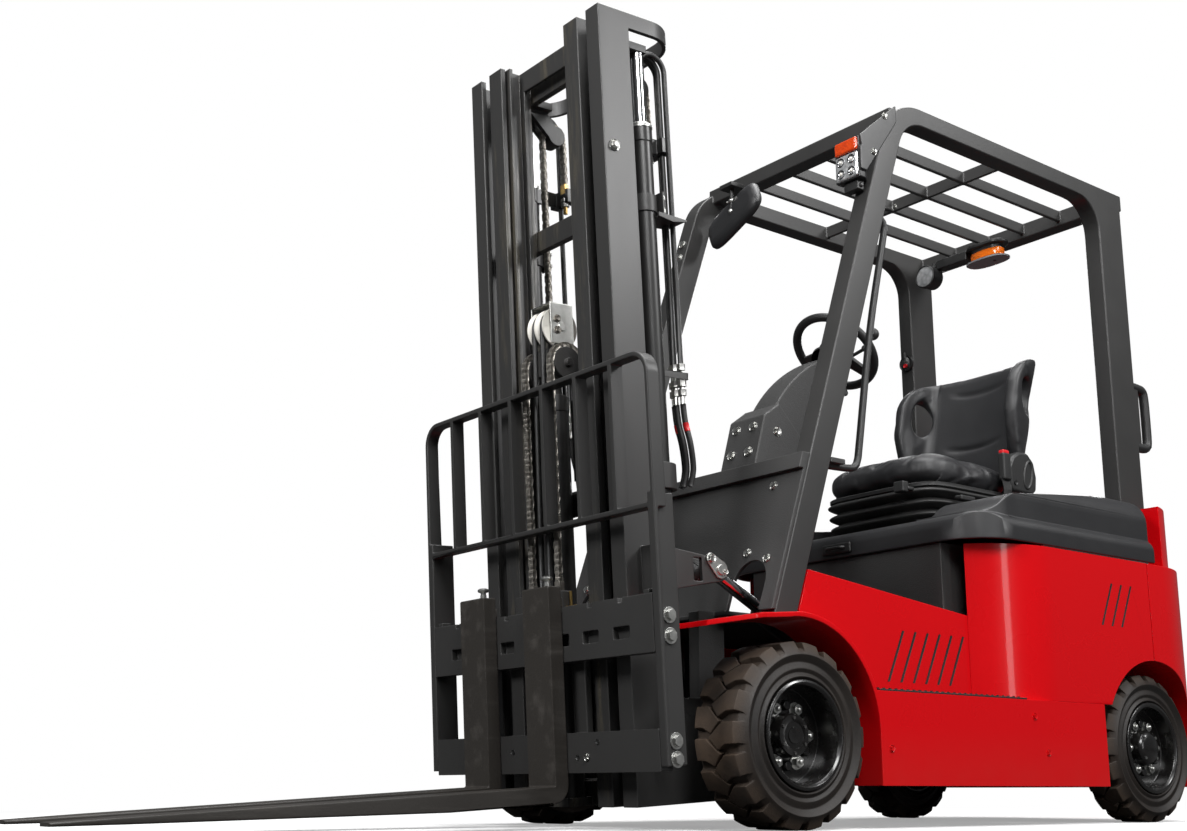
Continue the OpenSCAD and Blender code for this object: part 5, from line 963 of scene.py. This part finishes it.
class TRUCK_OT_wheels(bpy.types.Operator):
    """Dress the tyres, rims, wheel nuts and hubs"""
    bl_idname = "truck.wheels"
    bl_label = "Wheels"

    def execute(self, context):
        ends = (("front", 0.0, FRONT_R, 0.565 - 0.078), ("rear", -BASE, REAR_R, 0.537 - 0.052))
        for end, x, r, face in ends:
            for hand, side in (("left", 1), ("right", -1)):
                dress(f"{end}_tyre_{hand}", f"{end}_rubber", 0.0022, 2, 24.0)
                dress(f"{end}_rim_{hand}", "rim_black", 0.002, 3)
                self.nuts(f"{end}_{hand}", f"wheel_{end}_{hand}", x, r, side, face)
                self.hub(f"{end}_{hand}", f"wheel_{end}_{hand}", x, r, side, face, end == "rear")
        return {"FINISHED"}

    def nuts(self, name, body, x, r, side, face):
        """Six nuts on their studs, on the wheel's disc."""
        nuts, studs = Shape(), Shape()
        circle, out = 0.074, Vector((0, side, 0))
        for i in range(6):
            a = math.pi * i / 3
            spot = Vector((x + circle * math.cos(a), side * face, r + circle * math.sin(a)))
            nuts.rod(spot, spot + out * 0.003, 0.019, 28)
            nuts.nut(spot, out, 0.0145, 0.0165)
            studs.rod(spot, spot + out * 0.021, 0.0065, 16)
            studs.ball(spot + out * 0.021, 0.0065, 8, (1, 0.6, 1))
        nuts.place(f"wheel_nuts_{name}", body, "zinc", TRUCK, 0.0008)
        studs.place(f"wheel_studs_{name}", body, "zinc", TRUCK)

    def hub(self, name, body, x, r, side, face, domed):
        """A domed or a stepped hub cap with its screws."""
        turn = TRUCK @ Matrix.Translation((x, side * face, r)) @ Matrix.Rotation(-side * math.pi / 2, 4, "X")
        if domed:
            count, seat, look = 4, 0.0375, "zinc"
            profile = [(0.0545, 0.0), (0.0545, 0.012), (0.053, 0.026), (0.048, 0.0375), (0.036, 0.0435),
                       (0.018, 0.046), (0.0004, 0.0465)]
        else:
            count, seat, look = 6, 0.0335, "axle_iron"
            profile = [(0.0545, 0.0), (0.0545, 0.006), (0.0535, 0.01), (0.0535, 0.031), (0.05, 0.0352),
                       (0.034, 0.0354), (0.032, 0.032), (0.022, 0.0318), (0.02, 0.0362), (0.0004, 0.0364)]
        Shape().turned(profile).place(f"hub_cap_{name}", body, "rim_black", turn, angle=40.0)
        screws, circle = Shape(), 0.043
        for i in range(count):
            a = 2 * math.pi * (i + 0.5) / count
            spot = Vector((circle * math.cos(a), circle * math.sin(a), seat))
            screws.rod(spot, spot + Vector((0, 0, 0.0045)), 0.0045, 6)
        screws.place(f"hub_screws_{name}", body, look, turn)


def links(shape, path, y):
    """Leaf chain plates and pins along (u, w) points of the mast."""
    pitch, lengths = sizes().chain_pitch, [0.0]
    pts = [Vector((u, y, w)) for u, w in path]
    for a, b in zip(pts, pts[1:]):
        lengths.append(lengths[-1] + (b - a).length)
    pins, k = [], 0
    for i in range(int(lengths[-1] / pitch) + 1):
        while lengths[k + 1] < i * pitch:
            k += 1
        t = (i * pitch - lengths[k]) / (lengths[k + 1] - lengths[k])
        pins.append(pts[k].lerp(pts[k + 1], t))
    across, width, thick = Vector((0, 0.0108, 0)), 0.0122, 0.0024
    leaves = ((-0.0058, 0.0, 0.0058), (-0.0085, -0.003, 0.003, 0.0085))
    for i, (a, b) in enumerate(zip(pins, pins[1:])):
        for off in leaves[i % 2]:
            shape.plate((a + b) / 2 + Vector((0, off, 0)), b - a, (0, 1, 0), pitch + width, width, thick, 4)
    for p in pins:
        shape.rod(p - across, p + across, 0.003, 8)


def arc(u, w, r, a, b, n=18):
    """Points round (u, w) from angle a to b in degrees."""
    turns = [math.radians(a + (b - a) * i / n) for i in range(n + 1)]
    return [(u + r * math.cos(t), w + r * math.sin(t)) for t in turns]


class TRUCK_OT_mast(bpy.types.Operator):
    """Paint the mast stages and dress cylinders, chains and hoses"""
    bl_idname = "truck.mast"
    bl_label = "Mast"

    def execute(self, context):
        dress("mast_outer", "rail_paint")
        dress("mast_middle", "greased_paint")
        dress("mast_inner", "greased_paint", 0.002, 2)
        for n in ("lift_barrels", "free_barrel", "tilt_barrels"):
            dress(n, "barrel_black", 0.002)
        dress("free_head", "axle_iron", 0.002)
        for n in ("lift_rods", "tilt_rods"):
            dress(n, "rod_chrome", 0.001)
        self.chains()
        self.pulley()
        self.hoses()
        self.fittings()
        self.pins()
        return {"FINISHED"}

    def chains(self):
        """Leaf chains over the rear wheels and over the free lift head."""
        over_rear = arc(0.118, 1.792, 0.038, 180, 0)
        over_front = arc(0.3, 1.012, 0.052, 180, 0)
        for name, node, a, b, path, y, start, end in (
                ("rear_chain_fixed", "lift_runs_fixed", "mast", "middle",
                 [(0.08, 1.64), (0.08, 1.792)], 0.195, 1.65, 1.79),
                ("rear_chain_moving", "lift_runs_moving", "middle", "inner",
                 over_rear + [(0.156, -0.06)], 0.195, 1.79, -0.05),
                ("front_chain_fixed", "free_runs_fixed", "inner", "head",
                 [(0.248, 0.666), (0.248, 1.012)], 0.058, 0.68, 1.01),
                ("front_chain_moving", "free_runs_moving", "head", "carriage",
                 over_front + [(0.352, 0.394)], 0.058, 1.01, 0.41)):
            strand = Shape()
            for side in SIDES:
                links(strand, path, side * y)
            o = strand.place(name, None, "chain_steel", MAST)
            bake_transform(o)
            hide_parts(node)

    def pulley(self):
        """The white twin-groove hose wheel between its zinc cheeks on the free lift head."""
        turn = MAST @ Matrix.Translation((PULLEY_U, 0, PULLEY_W)) @ Matrix.Rotation(-math.pi / 2, 4, "X")
        groove = ((0.058, 0.0175), (0.0588, 0.0155), (0.0572, 0.0125), (0.044, 0.0092), (GROOVE_R, 0.0045))
        rim = [(0.02, -0.0355)]
        for c in GROOVES:
            rim += [(r, c - off) for r, off in groove]
            rim += [(r, c + off) for r, off in reversed(groove)]
        rim += [(0.02, 0.0355)]
        Shape().turned(rim, turn, 72).place("hose_pulley", "head", "white_nylon", angle=50.0)
        pin = Shape().rod((PULLEY_U, -0.046, PULLEY_W), (PULLEY_U, 0.05, PULLEY_W), 0.012, 24)
        pin.place("pulley_pin", "head", "zinc", MAST, 0.001)
        cheeks = Shape()
        for y in (-0.043, 0.043):
            outline = [(0.258, 1.07), (0.334, 1.07), (0.334, 1.184), (0.258, 1.184)]
            cheeks.prism(outline, y - 0.002, y + 0.002)
        cheeks.box((0.258, -0.043, 1.182), (0.334, 0.043, 1.186))
        cheeks.place("pulley_cheeks", "head", "zinc", MAST, 0.0015)
        spots = [(Vector((0.312, 0.045, w)), (0, 1, 0)) for w in (1.108, 1.14)]
        Shape().bolts(spots, 0.0075, 0.008).place("cheek_bolts", "head", "chain_steel", MAST)

    def hoses(self):
        """Hoses over the pulley, and along the mast's left and right rear to the fittings."""
        r = sizes().hose
        ahead = arc(PULLEY_U, PULLEY_W, GROOVE_R + r, 90, 0)
        ahead += [(0.3445, 1.0), (0.346, 0.9), (0.348, 0.7), (0.35, 0.5), (0.35, 0.394)]
        behind = arc(PULLEY_U, PULLEY_W, GROOVE_R + r, 90, 180)
        behind += [(0.2505, 1.0), (0.249, 0.85), (0.2475, 0.7)]
        front, back = Shape(), Shape()
        for y in GROOVES:
            front.tube([(u, y, w) for u, w in ahead], r, 12)
            back.tube([(u, y, w) for u, w in behind], r, 12)
        o = front.place("carriage_hoses", None, "hose_rubber", MAST)
        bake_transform(o)
        o = back.place("head_hoses", None, "hose_rubber", MAST)
        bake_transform(o)
        run, bend = Shape(), 0.046
        for y, u in HOSES:
            rise = (0.985, 1.2, 1.4, 1.6) if y > 0 else (0.985, 1.3, 1.6)
            path = [(u, w) for w in rise] + arc(u + bend, 1.826, bend, 180, 20)
            run.tube([(a, y, w) for a, w in path], r, 12)
        o = run.place("mast_hoses", None, "hose_rubber", MAST)
        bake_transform(o)

    def fittings(self):
        """Zinc pipe ends and nuts, and the hoses that turn down from them into the truck."""
        sag = ((0.0, 0.0, 0.882), (-0.003, 0.002, 0.83), (-0.01, 0.01, 0.77), (-0.02, 0.004, 0.705),
               (-0.012, -0.004, 0.66))
        ends, tails, marks, clips = Shape(), Shape(), Shape(), Shape()
        for i, (y, u) in enumerate(HOSES):
            ends.rod((u, y, 0.88), (u, y, 0.992), 0.0068, 16)
            for w, r in ((0.975, 0.0115), (0.93, 0.0125), (0.905, 0.0115)):
                ends.nut((u, y, w), (0, 0, 1), r, 0.017)
            low = curve_points([(u + a, y + b, w) for a, b, w in sag], 0.012)
            tails.tube(low, 0.008, 12)
            if i in (0, 2):
                marks.tube(low[4:7], 0.0086, 12)
        ends.place("hose_ends", "mast", "zinc", MAST)
        tails.place("hose_tails", "mast", "hose_rubber", MAST)
        marks.place("hose_rings", "mast", "button_red", MAST)
        clips.box((0.052, 0.214, 0.948), (0.058, 0.272, 0.966))
        clips.box((0.052, 0.268, 0.948), (0.232, 0.272, 0.966))
        strap = [(0.05, 1.382), (0.1, 1.374), (0.15, 1.382), (0.15, 1.394), (0.05, 1.388)]
        clips.prism(strap, 0.296, 0.302)
        clips.prism([(0.044, 1.388), (0.15, 1.38), (0.15, 1.386)], 0.216, 0.296)
        clips.place("hose_bracket", "mast", "rail_paint", MAST, 0.001)

    def pins(self):
        """Chain anchors, roller bolts, clamps and gland rings of the lift barrels, and tilt pin keepers."""
        rods, nuts = Shape(), Shape()
        for side in SIDES:
            spot = Vector((0.08, side * 0.195, 1.56))
            rods.rod(spot, spot + Vector((0, 0, 0.08)), 0.0065, 16)
            rods.box(spot + Vector((-0.008, -0.011, 0.062)), spot + Vector((0.008, 0.011, 0.092)))
            for rise in (0.022, 0.036):
                nuts.nut(spot + Vector((0, 0, rise)), (0, 0, 1), 0.013, 0.012)
        rods.place("rear_anchors", "mast", "brass_zinc", MAST, 0.001)
        nuts.place("anchor_nuts", "mast", "zinc", MAST, 0.0008)
        spots = [on_face("mast_outer", (0.386, side * 0.6, 1.756), (0, -side, 0)) for side in SIDES]
        Shape().bolts(spots, 0.011, 0.013).place("roller_bolts", "mast", "zinc")
        band = [(0.0312, -0.024), (0.0352, -0.024), (0.0352, 0.024), (0.0312, 0.024)]
        gland = [(0.0205, -0.003), (0.0345, -0.003), (0.0345, 0.005), (0.0325, 0.008), (0.0205, 0.008)]
        clamp, bolts, rings = Shape(), Shape(), Shape()
        for side in SIDES:
            clamp.box((0.126, side * 0.222, 1.385), (0.132, side * 0.3, 1.455))
            clamp.turned(band, Matrix.Translation((LIFT_U, side * LIFT_Y, 1.42)), 40, True)
            for u, y in ((0.126, 0.232), (0.13, 0.2885)):
                bolts.bolts([(Vector((u, side * y, w)), (-1, 0, 0)) for w in (1.402, 1.438)], 0.009, 0.01)
            rings.turned(gland, Matrix.Translation((LIFT_U, side * LIFT_Y, 1.64)), 40, True)
        clamp.place("barrel_clamps", "mast", "rail_paint", MAST, 0.001)
        bolts.place("clamp_bolts", "mast", "zinc", MAST)
        self.keepers()
        rings.place("gland_rings", "mast", "zinc", MAST)

    def keepers(self):
        """Pear-shaped plates that lock the tilt pins."""
        c, e = Vector((0.066, 0, 0.424)), Vector((0.098, 0, 0.452))
        d = (e - c).normalized()
        lean = math.degrees(math.atan2(d.z, d.x))
        rim = arc(c.x, c.z, 0.023, lean + 75, lean + 285, 16) + arc(e.x, e.z, 0.015, lean - 75, lean + 75, 10)
        plates, bolts = Shape(), Shape()
        for side in SIDES:
            plates.prism(rim, side * 0.3635, side * 0.3685)
            plates.rod((c.x, side * 0.368, c.z), (c.x, side * 0.373, c.z), 0.0135, 28)
            bolts.bolts([(Vector((e.x, side * 0.3685, e.z)), (0, side, 0))], 0.0085, 0.009)
            bolts.bolts([(Vector((c.x - 0.01, side * 0.3725, c.z - 0.006)), (0, side, 0))], 0.0055, 0.006)
        plates.place("tilt_keepers", "mast", "zinc", MAST, 0.001)
        bolts.place("keeper_bolts", "mast", "zinc", MAST)


class TRUCK_OT_carriage(bpy.types.Operator):
    """Paint the carriage, backrest and forks and add their bolts and latches"""
    bl_idname = "truck.carriage"
    bl_label = "Carriage"

    def execute(self, context):
        dress("carriage", "charcoal_paint", 0.003)
        dress("backrest", "charcoal_paint", 0.0035, 3)
        dress("forks", "fork_paint", 0.004, 3)
        self.bolts()
        self.latches()
        return {"FINISHED"}

    def bolts(self):
        """Bolts, plugs and stops on the bars, and the ends of the front chains."""
        big = Shape()
        for side in SIDES:
            for w in (0.292, 0.243, 0.0, -0.042):
                big.bolts([(Vector((0.362, side * 0.4935, w)), (0, side, 0))], 0.0135, 0.013)
        big.place("side_plate_bolts", "carriage", "zinc", MAST, 0.0006)
        y, w = 0.205, -0.03
        screw = Shape().rod((0.3995, y, w), (0.403, y, w), 0.0095, 20)
        screw.rod((0.403, y, w), (0.4065, y, w), 0.0065, 6)
        screw.place("lower_bar_screw", "carriage", "zinc", MAST)
        dark = Shape()
        for y, w in ((0.168, -0.03), (0.25, 0.006), (-0.11, -0.012)):
            dark.rod((0.3995, y, w), (0.4015, y, w), 0.007, 20)
        dark.place("lower_bar_plugs", "carriage", "lamp_body", MAST)
        stops = Shape()
        for y in (-0.455, 0.455):
            stops.box((0.366, y - 0.01, 0.344), (0.396, y + 0.01, 0.356))
        stops.place("fork_stops", "carriage", "charcoal_paint", MAST, 0.002)
        brass = Shape().box((0.352, 0.106, 0.345), (0.372, 0.15, 0.351))
        brass.box((0.352, 0.106, 0.345), (0.358, 0.112, 0.39))
        brass.place("chain_guard", "carriage", "brass_zinc", MAST, 0.001)
        ends = Shape()
        for y in (-0.058, 0.058):
            ends.box((0.344, y - 0.011, 0.385), (0.36, y + 0.011, 0.42))
            ends.nut((0.352, y, 0.34), (0, 0, 1), 0.012, 0.012)
            ends.rod((0.352, y, 0.335), (0.352, y, 0.39), 0.006, 16)
        ends.place("front_anchors", "carriage", "chain_steel", MAST, 0.001)

    def latches(self):
        """Pull knobs of the fork latches on top of the fork hooks."""
        profile = [(0.0004, 0.02), (0.01, 0.02), (0.015, 0.0175), (0.0155, 0.0125), (0.0135, 0.01),
                   (0.0075, 0.008), (0.007, 0.0)]
        stems, knobs = Shape(), Shape()
        for y in (0.071, -0.222):
            stems.rod((0.402, y, 0.37), (0.402, y, 0.412), 0.0085, 20)
            stems.rod((0.402, y, 0.398), (0.402, y, 0.404), 0.0125, 24)
            knobs.turned(profile, Matrix.Translation((0.402, y, 0.41)), 32)
        stems.place("latch_stems", "carriage", "zinc", MAST)
        knobs.place("latch_knobs", "carriage", "zinc", MAST, angle=50.0)


class TRUCK_OT_stage(bpy.types.Operator):
    """Set the floor, the soft light and the camera"""
    bl_idname = "truck.stage"
    bl_label = "Stage"

    def execute(self, context):
        scene = context.scene
        scene.view_settings.view_transform = "Standard"
        self.floor(scene)
        self.surround(scene)
        for name, at, aim, size, tall, power in (
                ("key", (2.2, 4.4, 4.6), (-0.2, 0.2, 1.0), 2.2, 2.2, 300.0),
                ("front", (5.2, 0.4, 3.6), (0.6, 0.0, 1.2), 1.8, 1.8, 260.0),
                ("side", (-3.2, 4.4, 4.4), (-1.0, 0.3, 1.0), 1.4, 1.4, 190.0),
                ("top", (-0.6, 0.5, 5.8), (-0.4, 0.0, 0.8), 3.4, 3.4, 330.0),
                ("rear", (-5.0, -2.6, 3.6), (-0.6, 0.0, 1.0), 2.4, 2.4, 150.0),
                ("strip", (-0.4, 4.2, 1.1), (-0.8, 0.4, 0.7), 0.45, 1.8, 20.0)):
            lamp = bpy.data.lights.new(name, "AREA")
            lamp.shape, lamp.size, lamp.size_y, lamp.energy = "RECTANGLE", size, tall, power
            o = bpy.data.objects.new(name, lamp)
            o.location = at
            o.rotation_euler = (Vector(aim) - Vector(at)).to_track_quat("-Z", "Y").to_euler()
            scene.collection.objects.link(o)
        eye, gaze = (2.7692, 3.0515, 0.0929), Vector((-0.6004, -0.7713, 0.2115))
        data = bpy.data.cameras.new("view")
        data.sensor_fit, data.sensor_width = "HORIZONTAL", 36.0
        data.lens, data.shift_x, data.shift_y = 43.8, 0.0027, 0.0535
        data.clip_end = 200.0
        cam = bpy.data.objects.new("view", data)
        cam.location = eye
        cam.rotation_euler = gaze.to_track_quat("-Z", "Y").to_euler()
        scene.collection.objects.link(cam)
        scene.camera = cam
        return {"FINISHED"}

    def floor(self, scene):
        """A pale floor that keeps the shadow and turns to plain white far away."""
        k = Look("floor_white")
        seen = k.node("ShaderNodeLightPath", out="Is Camera Ray")
        reach = k.node("ShaderNodeVectorMath", {"operation": "LENGTH"}, {0: k.coords}, out="Value")
        far = k.node("ShaderNodeMapRange", {}, {"Value": reach, 1: 2.6, 2: 4.6})
        tint = k.blend(seen, (0.07, 0.07, 0.07), (0.88, 0.88, 0.88))
        matt = k.node("ShaderNodeBsdfDiffuse", {}, {"Color": tint})
        glow = k.node("ShaderNodeEmission", {}, {"Color": (1, 1, 1, 1), "Strength": 1.0})
        k.close(k.node("ShaderNodeMixShader", {}, {0: seen * (far * 0.66 + 0.34), 1: matt, 2: glow}))
        bm = bmesh.new()
        bmesh.ops.create_grid(bm, x_segments=1, y_segments=1, size=60.0)
        mesh = bpy.data.meshes.new("floor")
        bm.to_mesh(mesh)
        bm.free()
        mesh.materials.append(k.mat)
        floor = bpy.data.objects.new("floor", mesh)
        scene.collection.objects.link(floor)

    def surround(self, scene):
        """White to the camera, a dim even light to everything else."""
        scene.world = bpy.data.worlds.new("studio")
        k = Nodes(scene.world, "ShaderNodeOutputWorld")
        lit = k.node("ShaderNodeBackground", {}, {"Color": (0.94, 0.97, 1.0, 1), "Strength": 0.12})
        white = k.node("ShaderNodeBackground", {}, {"Color": (1, 1, 1, 1)})
        straight = k.node("ShaderNodeLightPath", out="Is Camera Ray")
        through = k.node("ShaderNodeLightPath", out="Is Transmission Ray")
        seen = k.node("ShaderNodeMath", {"operation": "MAXIMUM"}, {0: straight, 1: through})
        k.close(k.node("ShaderNodeMixShader", {}, {0: seen, 1: lit, 2: white}))


class TRUCK_PT_panel(bpy.types.Panel):
    """Lists the steps that dress the truck"""
    bl_idname = "TRUCK_PT_panel"
    bl_label = "Truck"
    bl_space_type = "VIEW_3D"
    bl_region_type = "UI"
    bl_category = "Truck"

    def draw(self, context):
        for op in STEPS:
            self.layout.operator(op.bl_idname)
        for group in (context.scene.truck_sizes, context.scene.truck_colours):
            for key in group.bl_rna.properties.keys():
                if key not in ("rna_type", "name"):
                    self.layout.prop(group, key)


STEPS = (TRUCK_OT_finishes, TRUCK_OT_body, TRUCK_OT_guard, TRUCK_OT_steering, TRUCK_OT_seat, TRUCK_OT_wheels,
         TRUCK_OT_mast, TRUCK_OT_carriage, TRUCK_OT_stage)
CLASSES = (TruckSizes, TruckColours, *STEPS, TRUCK_PT_panel)


def register():
    for c in CLASSES:
        bpy.utils.register_class(c)
    bpy.types.Scene.truck_sizes = PointerProperty(type=TruckSizes)
    bpy.types.Scene.truck_colours = PointerProperty(type=TruckColours)


def unregister():
    del bpy.types.Scene.truck_sizes
    del bpy.types.Scene.truck_colours
    for c in reversed(CLASSES):
        bpy.utils.unregister_class(c)


def main():
    register()
    for step in STEPS:
        group, name = step.bl_idname.split(".")
        getattr(getattr(bpy.ops, group), name)()


if __name__ == "__main__":
    main()
